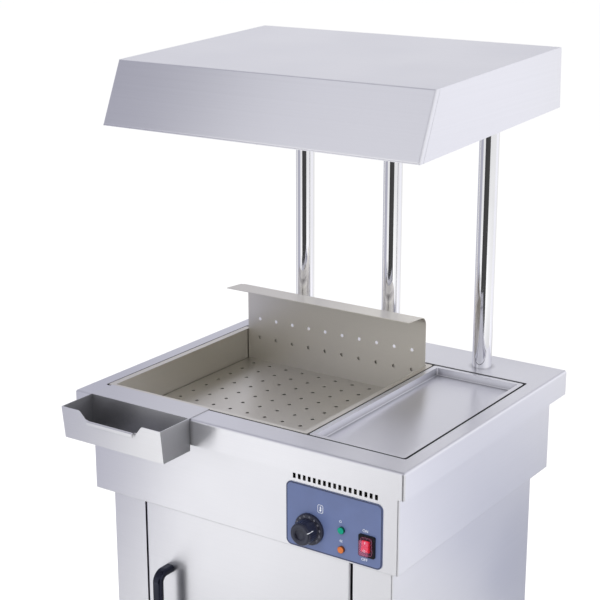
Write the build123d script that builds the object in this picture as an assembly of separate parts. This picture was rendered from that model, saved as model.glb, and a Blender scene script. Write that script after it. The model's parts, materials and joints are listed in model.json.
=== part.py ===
from build123d import *

import os
from math import atan2, cos, degrees, radians, sin, sqrt, tan

# Chip scuttle: a heated bay for fried chips on a cupboard, with a lamp canopy on three posts.
# Millimetres. +Z is up and +Y points to the rear.
# The origin is on the floor, below the middle of the whole box.

# Worktop, control band and cabinet, from the outside in
worktop_width = 600.0
worktop_depth = 520.0
worktop_height = 850.0
apron_height = 41.0
band_inset = 19.0
band_drop = 168.0
cabinet_inset = 20.0
sheet = 1.5
edge_radius = 2.5
worktop_bend = 4.0
band_bend = 2.0
fold_flange = 25.0

# Heated bay and the pieces that lift out of it
bay_side_margin = 24.5
bay_front_margin = 45.0
bay_rear_margin = 96.0
bay_corner = 4.0
bay_lip = 8.0
bay_ledge = 7.5
thin_sheet = 1.2
rim_gap = 4.3
rim_left_gap = 1.0
rim_drop = 0.5
pan_wall_gap = 2.8
divider_gap = 1.0
pan_depth = 65.0
pan_corner = 4.0
pan_floor_bend = 3.0
pan_floor_gap = 6.0
bagging_depth = 14.0
divider_from_left = 408.0
divider_width = 16.0
divider_height = 10.0
rim_spacing = 3.0

# Perforated insert
insert_gap = 1.3
insert_raise = 10.0
insert_rise = 85.0
insert_flange = 57.0
insert_flange_lift = 2.5
insert_flange_overhang = 4.5
insert_bend = 16.0
insert_edge = 20.0
hole_pitch = 34.3
hole_diameter = 6.0
hole_columns = 10
upper_hole_height = 22.0

# Salt tray that hooks over the front edge
hook_left_margin = 36.0
hook_width = 193.5
hook_reach = 72.0
hook_height = 52.0
hook_lean = 6.0
hook_curl = 3.0
hook_curl_drop = 3.0
hook_lip_drop = 5.0
hook_gap = 0.4
notch_width = 100.0
notch_depth = 13.0
notch_flare = 11.0
notch_corner = 5.0

# Element, insulation and thermostat bulb under the well
element_diameter = 8.0
element_pitch = 58.0
element_runs = 6
element_margin = 45.0
element_gap = 0.3
strap_width = 20.0
strap_thickness = 2.0
strap_end_margin = 12.0
stud_diameter = 6.0
stud_shoulder = 10.0
stud_nut = 5.0
insulation_thickness = 12.0
insulation_margin = 12.0
bulb_length = 80.0
capillary_diameter = 2.0
capillary_bend = 8.0

# Fascia and controls
fascia_width = 163.7
fascia_height = 100.2
fascia_thickness = 1.2
fascia_corner = 9.0
fascia_right_margin = 25.5
fascia_bottom_margin = 3.4
slot_count = 17
slot_pitch = 8.7
slot_width = 4.9
slot_height = 8.2
slot_corner = 0.8
slot_above_fascia = 9.5
slots_from_right = 80.6
knob_from_left = 42.5
knob_from_top = 66.0
knob_skirt_diameter = 48.0
knob_skirt_thickness = 6.0
knob_grip_diameter = 36.0
knob_grip_top_diameter = 34.0
knob_length = 27.0
knob_lift = 1.0
shaft_diameter = 6.0
shaft_seat = 11.0
knob_crown = 6.0
knob_skirt_bevel = 2.0
thermostat_width = 42.0
thermostat_depth = 34.0
lamp_from_left = 96.8
green_from_top = 54.3
amber_from_top = 84.3
lens_diameter = 10.6
lens_height = 4.8
lens_edge = 1.4
lamp_barrel_diameter = 8.0
lamp_barrel_length = 26.0
rocker_from_left = 139.7
rocker_from_top = 67.6
bezel_width = 27.0
bezel_height = 33.5
bezel_thickness = 3.0
bezel_frame = 3.0
bezel_end = 4.0
switch_wall = 1.0
switch_depth = 22.0
rocker_width = 11.5
rocker_length = 16.5
rocker_clearance = 0.7
rocker_tilt = 10.0
rocker_pivot_depth = 3.0
rocker_proud = 4.3
rocker_back = 6.0
boot_wall = 0.7
boot_clearance = 2.0
boot_corner = 3.0
boot_bend = 2.5
boot_flange = 1.5
trunnion_diameter = 3.0
terminal_length = 62.0
terminal_width = 22.0
terminal_height = 20.0
terminal_poles = 5
terminal_from_rear = 24.0
gland_flats = 24.0
gland_thread = 18.0
gland_dome_diameter = 21.5
gland_dome_edge = 2.5
gland_bore = 11.0
gland_nut = 6.0
gland_hex = 8.0
gland_reach = 16.0
gland_from_right = 80.0
gland_from_bottom = 48.0

# Door, hinge and handle
stile_width = 64.5
hinge_stile_width = 66.7
stile_return = 20.0
bottom_rail_height = 30.0
door_gap = 2.2
hinge_gap = 5.0
door_top_gap = 5.0
door_thickness = 20.0
hinge_from_edge = 18.0
hinge_from_face = 9.0
pin_diameter = 8.0
pin_collar_diameter = 16.0
pin_reach = 10.0
bush_diameter = 12.0
bush_end = 2.0
handle_from_edge = 45.3
handle_top_drop = 275.5
handle_length = 160.0
handle_reach = 36.5
handle_width = 16.0
handle_depth = 12.5
handle_bend = 14.0
handle_round = 4.5
screw_diameter = 4.0
screw_head_diameter = 8.0
screw_head = 2.5
handle_screw_length = 14.0
top_rail_setback = 33.0
top_rail_height = 42.0
catch_length = 46.0
catch_height = 14.0
catch_gap = 0.5
catch_drop = 7.0
catch_from_left = 30.0
strike_thickness = 1.2

# Feet
cabinet_clearance = 70.0
floor_flange = 24.0
foot_inset = 36.0
foot_plate = 64.0
foot_plate_thickness = 3.0
foot_leg_diameter = 40.0
foot_disc_diameter = 44.0
foot_disc = 10.0
foot_hex = 10.0
foot_hex_flats = 27.0
foot_stem_diameter = 12.0
foot_stem_length = 40.0
foot_edge = 2.0

# Gantry posts and canopy
post_diameter = 32.0
post_wall = 1.5
post_pitch = 175.0
post_rear_margin = 60.0
plug_flange = 3.0
plug_length = 20.0
post_stud_diameter = 12.0
post_stud_below = 24.0
post_stud_above = 24.0
channel_width = 50.0
channel_height = 20.0
channel_overhang = 50.0
bar_thickness = 3.0
washer_thickness = 2.5
washer_diameter = 26.0
taper_least = 2.0
nut_flats = 19.0
nut_thickness = 10.0
canopy_width = 554.0
canopy_depth = 431.0
canopy_height = 93.0
canopy_slope = 46.0
canopy_clearance = 431.0
canopy_rear_margin = 27.0
canopy_lean = 2.6
canopy_lip = 14.0
canopy_front_lip = 34.0
canopy_panel_setback = 4.0
canopy_return = 10.0
canopy_fold = 3.0
canopy_seam = 0.4
spine_width = 44.0
spine_overhang = 60.0
lamp_gap = 40.0
lamp_setback = 225.0
lamp_opening_length = 150.0
lamp_opening_width = 90.0
reflector_height = 56.0
reflector_top_width = 50.0
reflector_flange = 10.0
holder_length = 22.0
holder_size = 18.0
holder_socket = 8.0
tube_diameter = 10.0
tube_height = 30.0
guard_border = 10.0
guard_thickness = 2.0
guard_bars = 5
guard_bar = 3.0
canopy_screw_inset = 40.0

# Clearances that several pieces share
slide_fit = 0.1
running_fit = 0.05
hole_fit = 0.3

# Main planes worked out from the sizes above
top = worktop_height
half = worktop_width / 2
front = -(worktop_depth - hook_reach) / 2
rear = front + worktop_depth
worktop_under = top - sheet

band_left = -half + band_inset
band_right = -band_left
band_front = front + band_inset
band_rear = rear - band_inset
band_bottom = top - band_drop

cab_right = band_right - cabinet_inset
cab_left = -cab_right
cab_front = band_front + cabinet_inset
cab_rear = band_rear - cabinet_inset
cab_bottom = cabinet_clearance
cab_top = band_bottom

bay_left = -half + bay_side_margin
bay_right = -bay_left
bay_front = front + bay_front_margin
bay_rear = rear - bay_rear_margin
ledge_top = top - bay_lip
rim_top = top - rim_drop
pan_bottom = rim_top - pan_depth
well_floor_top = pan_bottom - pan_floor_gap
well_under = well_floor_top - thin_sheet
divider_x = -half + divider_from_left
well_inset = bay_ledge
pan_inset = bay_ledge + pan_wall_gap

pan_left = bay_left + pan_inset
pan_right = divider_x - divider_width / 2 - divider_gap
pan_front = bay_front + pan_inset
pan_rear = bay_rear - pan_inset
pan_rim_left = bay_left + rim_left_gap
pan_rim_right = divider_x - rim_spacing / 2
rim_front = bay_front + rim_gap
rim_rear = bay_rear - rim_gap
bag_left = divider_x + divider_width / 2 + divider_gap
bag_right = bay_right - pan_inset
bag_rim_left = divider_x + rim_spacing / 2
bag_rim_right = bay_right - rim_gap

element_top = well_under - element_gap
element_axis = element_top - element_diameter / 2
strap_top = element_axis - element_diameter / 2 - element_gap
strap_under = strap_top - strap_thickness
insulation_top = strap_under - stud_nut
baffle_top = insulation_top - insulation_thickness
baffle_under = baffle_top - thin_sheet
stud_end = baffle_under - stud_nut

fascia_right = band_right - fascia_right_margin
fascia_left = fascia_right - fascia_width
fascia_bottom = band_bottom + fascia_bottom_margin
fascia_top = fascia_bottom + fascia_height
fascia_front = band_front - fascia_thickness
band_inner_front = band_front + sheet
knob_x = fascia_left + knob_from_left
knob_z = fascia_top - knob_from_top
lamp_x = fascia_left + lamp_from_left
green_z = fascia_top - green_from_top
amber_z = fascia_top - amber_from_top
rocker_x = fascia_left + rocker_from_left
rocker_z = fascia_top - rocker_from_top
bezel_front = fascia_front - bezel_thickness
rocker_y = bezel_front + rocker_pivot_depth

opening_left = cab_left + stile_width
opening_right = cab_right - hinge_stile_width
door_left = opening_left + door_gap
door_right = opening_right - hinge_gap
door_bottom = cab_bottom + bottom_rail_height + door_gap
door_top = cab_top - door_top_gap
door_front = cab_front
door_back = door_front + door_thickness
hinge_x = door_right - hinge_from_edge
hinge_y = door_front + hinge_from_face
bush_head_diameter = 2 * (hinge_from_face - sheet - hole_fit)
handle_x = door_left + handle_from_edge
handle_top = top - handle_top_drop
handle_bottom = handle_top - handle_length
top_rail_front = door_front + top_rail_setback

post_y = rear - post_rear_margin
post_xs = (-post_pitch, 0.0, post_pitch)
canopy_half = canopy_width / 2
canopy_rear = rear - canopy_rear_margin
canopy_base = top + canopy_clearance
canopy_place = Location((0, canopy_rear, canopy_base), (canopy_lean, 0, 0))
canopy_floor_top = 2 * thin_sheet


def block(x0, x1, y0, y1, z0, z1):
    """A box between two corners."""
    return Pos((x0 + x1) / 2, (y0 + y1) / 2, (z0 + z1) / 2) * Box(x1 - x0, y1 - y0, z1 - z0)


def rounded(x0, x1, y0, y1, z0, z1, radius):
    """A box with rounded upright edges."""
    solid = block(x0, x1, y0, y1, z0, z1)
    return fillet(solid.edges().filter_by(Axis.Z), radius)


def bowl(x0, x1, y0, y1, z0, z1, corner, bend):
    """A box with rounded upright edges and a rounded floor edge."""
    solid = rounded(x0, x1, y0, y1, z0, z1, corner)
    return fillet(solid.faces().sort_by(Axis.Z)[0].edges(), bend)


def capped(x0, x1, y0, y1, z0, z1, bend):
    """A block with its upright edges and the edges of its top rounded."""
    solid = block(x0, x1, y0, y1, z0, z1)
    return fillet(solid.edges().filter_by(Axis.Z) + solid.faces().sort_by(Axis.Z)[-1].edges(), bend)


def rod(x, y, z0, z1, diameter):
    """An upright round bar."""
    return Pos(x, y, (z0 + z1) / 2) * Cylinder(diameter / 2, z1 - z0)


def rod_x(x0, x1, y, z, diameter):
    """A round bar along X."""
    return Pos((x0 + x1) / 2, y, z) * Rot(Y=90) * Cylinder(diameter / 2, x1 - x0)


def rod_y(x, y0, y1, z, diameter):
    """A round bar along Y."""
    return Pos(x, (y0 + y1) / 2, z) * Rot(X=90) * Cylinder(diameter / 2, y1 - y0)


def hexagon(x, y, z0, z1, flats):
    """An upright hexagonal bar, by its width across flats."""
    outline = RegularPolygon(flats / sqrt(3), 6)
    return Pos(x, y, z0) * extrude(outline, z1 - z0)


def hexagon_y(x, y0, y1, z, flats):
    """A hexagonal bar along Y, by its width across flats."""
    outline = RegularPolygon(flats / sqrt(3), 6)
    return Pos(x, y1, z) * Rot(X=90) * extrude(outline, y1 - y0)


def profile_x(points, x0, x1):
    """A solid with a polygon outline in Y and Z, from x0 to x1."""
    outline = Polyline(*[(x0, y, z) for y, z in points], close=True)
    return extrude(make_face(outline), x1 - x0, dir=(1, 0, 0))


def together(solids):
    """Separate solids kept in one node."""
    return Compound(children=list(solids))


def worktop():
    low = top - apron_height
    shell = capped(-half, half, front, rear, low, top, worktop_bend)
    shell -= capped(-half + sheet, half - sheet, front + sheet, rear - sheet, low, worktop_under,
                    worktop_bend - sheet)
    shell += rounded(bay_left - sheet, bay_right + sheet, bay_front - sheet, bay_rear + sheet,
                     ledge_top, worktop_under, bay_corner + sheet)
    shell -= rounded(bay_left, bay_right, bay_front, bay_rear, ledge_top, top, bay_corner)
    for x in post_xs:
        shell -= rod(x, post_y, worktop_under, top, post_stud_diameter + 2 * hole_fit)
    return shell


def bay_well():
    flange = rounded(bay_left - sheet, bay_right + sheet, bay_front - sheet, bay_rear + sheet,
                     ledge_top - thin_sheet, ledge_top, bay_corner + sheet)
    inside = (bay_left + well_inset, bay_right - well_inset, bay_front + well_inset, bay_rear - well_inset)
    outside = (inside[0] - thin_sheet, inside[1] + thin_sheet, inside[2] - thin_sheet, inside[3] + thin_sheet)
    corner = pan_corner + pan_wall_gap
    tub = bowl(*outside, well_under, ledge_top, corner + thin_sheet, pan_floor_bend + thin_sheet)
    hollow = bowl(*inside, well_floor_top, ledge_top, corner, pan_floor_bend)
    return flange + tub - hollow


def divider_bar():
    return block(divider_x - divider_width / 2, divider_x + divider_width / 2, bay_front + well_inset,
                 bay_rear - well_inset, ledge_top - divider_height, ledge_top)


def drop_in(rim, body, depth):
    """A pan that hangs in the bay by a folded rim: rim and body are x0, x1, y0, y1 outside."""
    x0, x1, y0, y1 = rim
    t = thin_sheet
    cap = rounded(x0, x1, y0, y1, ledge_top, rim_top, bay_corner)
    cap -= rounded(x0 + t, x1 - t, y0 + t, y1 - t, ledge_top, rim_top - t, bay_corner - t)
    x0, x1, y0, y1 = body
    bottom = rim_top - depth
    cap += bowl(x0, x1, y0, y1, bottom, rim_top, pan_corner, pan_floor_bend)
    hollow = bowl(x0 + t, x1 - t, y0 + t, y1 - t, bottom + t, rim_top, pan_corner - t, pan_floor_bend - t)
    return cap - hollow


def chip_pan():
    rim = (pan_rim_left, pan_rim_right, rim_front, rim_rear)
    body = (pan_left, pan_right, pan_front, pan_rear)
    return drop_in(rim, body, pan_depth)


def bagging_tray():
    rim = (bag_rim_left, bag_rim_right, rim_front, rim_rear)
    body = (bag_left, bag_right, pan_front, pan_rear)
    return drop_in(rim, body, bagging_depth)


def perforated_insert():
    """A perforated false floor, and a back sheet welded to its rear edge that curls forward at the top."""
    t = thin_sheet
    left = pan_left + t + insert_gap
    right = pan_right - t - insert_gap
    face = pan_rear - t - insert_gap - t
    near = pan_front + t + insert_gap
    base = pan_bottom + t
    plate = base + insert_raise
    summit = top + insert_rise
    floor = block(left, right, near, face, plate - t, plate)
    skirt_left = left + insert_edge
    skirt_right = right - insert_edge
    skirt_front = near + pan_floor_bend
    floor += block(skirt_left, skirt_right, skirt_front, skirt_front + t, base, plate)
    for x in (skirt_left, skirt_right - t):
        floor += block(x, x + t, skirt_front, face, base, plate)
    back = block(left, right, face, face + t, plate - t, summit - insert_bend)
    lift = insert_flange_lift
    centre = (face + t - insert_bend, summit - insert_bend)
    tip = face + t - insert_flange
    curl = rod_x(left, right, *centre, 2 * insert_bend) - rod_x(left, right, *centre, 2 * (insert_bend - t))
    curl &= block(left, right, centre[0], face + t, centre[1], summit)
    wing_left = left - insert_flange_overhang
    root = centre[0]
    edge = summit + lift
    wing = profile_x([(root, summit), (root, summit - t), (tip, edge - t), (tip, edge)], wing_left, right)
    back += curl + wing
    columns = [(left + right) / 2 + hole_pitch * (i - (hole_columns - 1) / 2) for i in range(hole_columns)]
    rows = int((face - near - insert_edge) // hole_pitch)
    depths = [face - insert_edge - hole_pitch * i for i in range(rows)]
    drains = [rod(x, y, plate - t, plate, hole_diameter) for x in columns for y in depths]
    heights = [top + upper_hole_height - hole_pitch * i for i in range(2)]
    vents = [rod_y(x, face, face + t, z, hole_diameter) for x in columns for z in heights]
    return together([floor - drains, back - vents])


def hook_tray():
    """An open box on the apron, with a flange that lies on the worktop and hooks into the bay's front gap."""
    t = thin_sheet
    left = -half + hook_left_margin
    right = left + hook_width
    back = front - hook_gap
    low = top + t - hook_height
    high = top + t
    slope = hook_lean / hook_height
    curl_depth = notch_depth + hook_curl
    wall = front - hook_reach + 2 * hook_curl - t - slope * curl_depth
    inner_foot = wall + t + slope * (hook_height - t)
    shape = profile_x([(wall, high), (wall + hook_lean, low), (back, low), (back, high)], left, right)
    shape -= profile_x([(wall + t, high), (inner_foot, low + t), (back - t, low + t), (back - t, high)],
                       left + t, right - t)
    middle = (left + right) / 2
    floor_half = notch_width / 2
    floor_z = high - notch_depth
    mouth_half = floor_half + notch_flare
    outline = Polyline((middle - mouth_half, wall, high), (middle - floor_half, wall, floor_z),
                       (middle + floor_half, wall, floor_z), (middle + mouth_half, wall, high), close=True)
    notch = extrude(make_face(outline), t + hook_lean, dir=(0, 1, 0))
    corners = notch.edges().filter_by(Axis.Y).group_by(Axis.Z)[0]
    shape -= fillet(corners, notch_corner)
    shoulders = shape.edges().filter_by(Axis.Y).filter_by_position(Axis.Y, wall, wall + t)
    shape = fillet(shoulders.filter_by_position(Axis.X, left + 2 * t, right - 2 * t), notch_corner)
    half_lip = floor_half - notch_corner
    ends = (middle - half_lip, middle + half_lip)
    centre = (wall + slope * curl_depth + t - hook_curl, floor_z - hook_curl)
    shape -= block(*ends, wall, centre[0] + hook_curl, centre[1], floor_z)
    curl = rod_x(*ends, *centre, 2 * hook_curl) - rod_x(*ends, *centre, 2 * (hook_curl - t))
    curl &= block(*ends, centre[0] - hook_curl, centre[0] + hook_curl, centre[1], floor_z)
    nose = centre[0] - hook_curl
    shape += curl + block(*ends, nose, nose + t, centre[1] - hook_curl_drop, centre[1])
    catch = bay_front + (rim_gap - t) / 2
    shape += block(left, right, back - t, catch + t, top, high)
    return shape + block(left, right, catch, catch + t, top - hook_lip_drop, high)


def element_path():
    """The element's middle line: runs front to rear, joined by half turns."""
    span = element_pitch * (element_runs - 1)
    start = -span / 2
    near = bay_front + element_margin + element_pitch / 2
    far = bay_rear - element_margin - element_pitch / 2
    pieces = []
    for i in range(element_runs):
        x = start + element_pitch * i
        ends = (near, far) if i % 2 == 0 else (far, near)
        pieces.append(Line((x, ends[0], element_axis), (x, ends[1], element_axis)))
        if i < element_runs - 1:
            bulge = element_pitch / 2 if i % 2 == 0 else -element_pitch / 2
            begin = (x, ends[1], element_axis)
            middle = (x + element_pitch / 2, ends[1] + bulge, element_axis)
            finish = (x + element_pitch, ends[1], element_axis)
            pieces.append(ThreePointArc(begin, middle, finish))
    return Wire(pieces)


def element():
    path = element_path()
    outline = Plane(origin=path @ 0, z_dir=path % 0) * Circle(element_diameter / 2)
    return sweep(outline, path=path)


def strap_ends():
    span = element_pitch * (element_runs - 1) / 2 + element_diameter + strap_end_margin + stud_shoulder / 2
    return (-span, span)


def strap_rows():
    third = (bay_rear - bay_front) / 3
    return (bay_front + third, bay_rear - third)


def studs():
    return [(x, y) for x in strap_ends() for y in strap_rows()]


def element_straps():
    straps = []
    for y in strap_rows():
        x0, x1 = strap_ends()
        reach = stud_shoulder / 2 + strap_end_margin / 2
        bar = block(x0 - reach, x1 + reach, y - strap_width / 2, y + strap_width / 2, strap_under, strap_top)
        for x in (x0, x1):
            bar -= rod(x, y, strap_under, strap_top, stud_diameter + 2 * slide_fit)
        straps.append(bar)
    return together(straps)


def element_studs():
    pieces = []
    for x, y in studs():
        shoulder = rod(x, y, strap_top, well_under, stud_shoulder)
        pieces.append(shoulder + rod(x, y, stud_end, strap_top, stud_diameter))
    return together(pieces)


def element_nuts():
    nuts = []
    for x, y in studs():
        for z1 in (strap_under, baffle_under):
            bore = rod(x, y, z1 - stud_nut, z1, stud_diameter + 2 * running_fit)
            nuts.append(hexagon(x, y, z1 - stud_nut, z1, stud_shoulder) - bore)
    return together(nuts)


def under_plate(z0, z1, bore):
    """A plate under the well, with holes for the studs."""
    plate = block(bay_left + insulation_margin, bay_right - insulation_margin, bay_front + insulation_margin,
                  bay_rear - insulation_margin, z0, z1)
    return plate - [rod(x, y, z0, z1, bore) for x, y in studs()]


def insulation_slab():
    return under_plate(baffle_top, insulation_top, stud_diameter + 2 * hole_fit)


def heat_baffle():
    return under_plate(baffle_under, baffle_top, stud_diameter + 2 * slide_fit)


def bulb_start():
    return bay_front + element_margin + element_pitch


def bulb_x():
    """Half way between the last two element runs on the control side."""
    return element_pitch * (element_runs - 2) / 2


def thermostat_sensor():
    """A bulb between two element runs, and the thin tube from it down to the thermostat."""
    bulb = rod_y(bulb_x(), bulb_start(), bulb_start() + bulb_length, element_axis, element_diameter)
    drop = band_inner_front + thermostat_depth / 2
    path = FilletPolyline((bulb_x(), bulb_start() + capillary_diameter, element_axis),
                          (knob_x, drop, element_axis), (knob_x, drop, knob_z + thermostat_width / 2),
                          radius=capillary_bend)
    outline = Plane(origin=path @ 0, z_dir=path % 0) * Circle(capillary_diameter / 2)
    return bulb + sweep(outline, path=path)


def control_housing():
    """Front and sides in one wrapped sheet, and a rear wall with the cord's hole as a second sheet."""
    shell = bowl(band_left, band_right, band_front, band_rear, band_bottom, worktop_under, edge_radius,
                 band_bend)
    shell -= block(band_left + sheet, band_right - sheet, band_inner_front, band_rear - sheet,
                   band_bottom + sheet, worktop_under)
    shell -= block(cab_left + fold_flange, cab_right - fold_flange, cab_front + fold_flange,
                   cab_rear - fold_flange, band_bottom, band_bottom + sheet)
    slot_z = fascia_top + slot_above_fascia
    slots = []
    for i in range(slot_count):
        x = fascia_right - slots_from_right + slot_pitch * (i - (slot_count - 1) / 2)
        slot = block(x - slot_width / 2, x + slot_width / 2, band_front, band_inner_front,
                     slot_z - slot_height / 2, slot_z + slot_height / 2)
        slots.append(fillet(slot.edges().filter_by(Axis.Y), slot_corner))
    gland = rod_y(gland_x(), band_rear - sheet, band_rear, gland_z(), gland_thread + 2 * hole_fit)
    rear = block(band_left, band_right, band_rear - sheet, band_rear, band_bottom, worktop_under)
    wrapped = shell - slots - control_holes(band_front, band_inner_front) - rear
    return together([wrapped, (shell & rear) - gland])


def control_holes(y0, y1):
    """Holes for the shaft, the pilot lamps and the switch, through a sheet from y0 to y1."""
    holes = [rod_y(knob_x, y0, y1, knob_z, shaft_diameter + 4 * hole_fit)]
    for z in (green_z, amber_z):
        holes.append(rod_y(lamp_x, y0, y1, z, lamp_barrel_diameter + 2 * hole_fit))
    w, h = switch_size()
    holes.append(block(rocker_x - w / 2 - hole_fit, rocker_x + w / 2 + hole_fit, y0, y1,
                       rocker_z - h / 2 - hole_fit, rocker_z + h / 2 + hole_fit))
    return holes


def switch_size():
    """Width and height of the switch body behind its bezel."""
    return bezel_width - 2 * bezel_frame, bezel_height - 2 * bezel_end


def fascia_plate():
    plate = block(fascia_left, fascia_right, fascia_front, band_front, fascia_bottom, fascia_top)
    plate = fillet(plate.edges().filter_by(Axis.Y), fascia_corner)
    return plate - control_holes(fascia_front, band_front)


def thermostat_body():
    w = thermostat_width / 2
    body = block(knob_x - w, knob_x + w, band_inner_front, band_inner_front + thermostat_depth,
                 knob_z - w, knob_z + w)
    body = fillet(body.edges().filter_by(Axis.Y), edge_radius)
    return body - rod_y(knob_x, band_inner_front, shaft_end(), knob_z, shaft_diameter + 2 * running_fit)


def shaft_end():
    return band_inner_front + shaft_seat


def knob_face():
    return fascia_front - knob_lift - knob_length


def shaft_tip():
    return knob_face() + knob_crown


def thermostat_shaft():
    return rod_y(knob_x, shaft_tip(), shaft_end(), knob_z, shaft_diameter)


def thermostat_knob():
    back = fascia_front - knob_lift
    skirt_face = back - knob_skirt_thickness
    skirt = rod_y(knob_x, skirt_face, back, knob_z, knob_skirt_diameter)
    skirt = chamfer(skirt.edges().sort_by(Axis.Y)[0], knob_skirt_bevel)
    grip = Cone(knob_grip_diameter / 2, knob_grip_top_diameter / 2, skirt_face - knob_face())
    grip = fillet(grip.edges().sort_by(Axis.Z)[-1], edge_radius)
    grip = Pos(knob_x, (skirt_face + knob_face()) / 2, knob_z) * Rot(X=90) * grip
    return skirt + grip - rod_y(knob_x, shaft_tip(), back, knob_z, shaft_diameter + 2 * running_fit)


def lens(z):
    button = rod_y(lamp_x, fascia_front - lens_height, fascia_front, z, lens_diameter)
    return fillet(button.edges().sort_by(Axis.Y)[0], lens_edge)


def pilot_lamp_bodies():
    return together([rod_y(lamp_x, fascia_front, fascia_front + lamp_barrel_length, z, lamp_barrel_diameter)
                     for z in (green_z, amber_z)])


def switch_housing():
    w, h = switch_size()
    frame = block(rocker_x - bezel_width / 2, rocker_x + bezel_width / 2, bezel_front, fascia_front,
                  rocker_z - bezel_height / 2, rocker_z + bezel_height / 2)
    frame = fillet(frame.edges().filter_by(Axis.Y), edge_radius)
    end = bezel_front + switch_depth
    frame += block(rocker_x - w / 2, rocker_x + w / 2, fascia_front, end, rocker_z - h / 2, rocker_z + h / 2)
    a = rocker_width / 2 + rocker_clearance
    b = rocker_length / 2 + rocker_clearance
    frame -= block(rocker_x - a, rocker_x + a, bezel_front, end - switch_wall, rocker_z - b, rocker_z + b)
    pivot = trunnion_diameter + 2 * slide_fit
    return frame - rod_x(rocker_x - w / 2, rocker_x + w / 2, rocker_y, rocker_z, pivot)


def key_middle():
    """How far the bottom of the key's V stands in front of its pivot."""
    return rocker_pivot_depth + rocker_proud


def key_ends():
    """How far the two ends of the key's V stand in front of its pivot."""
    return key_middle() + rocker_length / 2 * tan(radians(rocker_tilt))


def rocker():
    """A see-saw key whose front is a shallow V, tilted so that its upper half is pressed in."""
    reach = rocker_length / 2
    slope = tan(radians(rocker_tilt))
    tail = reach - rocker_back * slope
    outline = [(-key_ends(), reach), (-key_middle(), 0), (-key_ends(), -reach), (0, -reach),
               (rocker_back, -tail), (rocker_back, tail), (0, reach)]
    key = profile_x(outline, -rocker_width / 2, rocker_width / 2)
    key = fillet(key.edges().filter_by(Axis.X).sort_by(Axis.Y)[:2], edge_radius)
    pin = switch_size()[0] / 2 - slide_fit
    key += rod_x(-pin, pin, 0, 0, trunnion_diameter)
    return Pos(rocker_x, rocker_y, rocker_z) * Rot(X=-rocker_tilt) * key


def switch_boot():
    """A clear splash cover over the key, clear of it through the whole tilt, with a flange on the bezel."""
    reach = rocker_length / 2
    turn = radians(rocker_tilt)
    w = rocker_width / 2 + boot_clearance + boot_wall
    h = reach * cos(turn) + key_ends() * sin(turn) + boot_clearance + boot_wall
    out = key_ends() * cos(turn) + reach * sin(turn) - rocker_pivot_depth + boot_clearance + boot_wall
    t = boot_wall
    f = boot_flange
    boot = bowl(-w, w, -h, h, -out, 0, boot_corner, boot_bend)
    boot += rounded(-w - f, w + f, -h - f, h + f, -t, 0, boot_corner + f)
    boot -= bowl(-w + t, w - t, -h + t, h - t, -out + t, 0, boot_corner - t, boot_bend - t)
    return Pos(rocker_x, bezel_front, rocker_z) * Rot(X=-90) * boot


def compartment_tray():
    """The sheet that parts the wiring space from the cupboard."""
    return block(band_left + sheet + hole_fit, band_right - sheet - hole_fit, band_inner_front + hole_fit,
                 band_rear - sheet - hole_fit, band_bottom + sheet, band_bottom + sheet + thin_sheet)


def terminal_block():
    x = gland_x()
    base = band_bottom + sheet + thin_sheet
    y1 = band_rear - sheet - terminal_from_rear
    half_length = terminal_length / 2
    lid = base + terminal_height
    body = block(x - half_length, x + half_length, y1 - terminal_width, y1, base, lid)
    pitch = terminal_length / terminal_poles
    for i in range(terminal_poles):
        pole = x + pitch * (i - (terminal_poles - 1) / 2)
        body -= rod(pole, y1 - terminal_width / 2, lid - terminal_height / 2, lid, pitch / 2)
    return body


def gland_x():
    return band_right - gland_from_right


def gland_z():
    return band_bottom + gland_from_bottom


def cable_gland():
    """A hexagonal body outside the rear sheet, a domed cap on it and a lock nut inside."""
    x, z = gland_x(), gland_z()
    inner = band_rear - sheet
    outer = band_rear + gland_reach
    neck = rod_y(x, inner - gland_nut, band_rear, z, gland_thread)
    lock = hexagon_y(x, inner - gland_nut, inner, z, gland_flats)
    body = hexagon_y(x, band_rear, band_rear + gland_hex, z, gland_flats)
    dome = rod_y(x, band_rear + gland_hex, outer, z, gland_dome_diameter)
    dome = fillet(dome.edges().sort_by(Axis.Y)[-1], gland_dome_edge)
    return neck + lock + body + dome - rod_y(x, inner - gland_nut, outer, z, gland_bore)


def cabinet_side(sign):
    """A side wall folded round into the front stile and the rear and top flanges; sign is -1 for the left."""
    def part(x0, x1, y0, y1, z0, z1):
        a, b = sorted((sign * x0, sign * x1))
        return block(a, b, y0, y1, z0, z1)
    edge = cab_right - (stile_width if sign < 0 else hinge_stile_width)
    wall = part(cab_right - sheet, cab_right, cab_front, cab_rear, cab_bottom, cab_top)
    stile = part(edge, cab_right, cab_front, cab_front + sheet, cab_bottom, cab_top)
    inner = part(edge, edge + sheet, cab_front, cab_front + stile_return, cab_bottom, cab_top)
    tail = part(cab_right - fold_flange, cab_right, cab_rear - sheet, cab_rear, cab_bottom, cab_top)
    lid = part(cab_right - fold_flange, cab_right, cab_front, cab_rear, cab_top - sheet, cab_top)
    lid += part(edge, cab_right, cab_front, cab_front + fold_flange, cab_top - sheet, cab_top)
    side = wall + stile + inner + tail + lid
    side -= back_screw_holes(cab_rear - sheet, cab_rear)
    corner = side.edges().filter_by(Axis.Z).sort_by(lambda e: (sign * e.center().X) - e.center().Y)[-1]
    return fillet(corner, edge_radius)


def back_panel():
    y1 = cab_rear - sheet
    panel = block(cab_left + sheet, cab_right - sheet, y1 - sheet, y1,
                  cab_bottom + floor_flange, cab_top - sheet)
    return panel - back_screw_holes(y1 - sheet, y1)


def back_screw_places():
    x = cab_right - sheet - (fold_flange - sheet) / 2
    low = cab_bottom + 2 * floor_flange
    high = cab_top - 2 * floor_flange
    return [(side * x, z) for side in (-1, 1) for z in (low, (low + high) / 2, high)]


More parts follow.
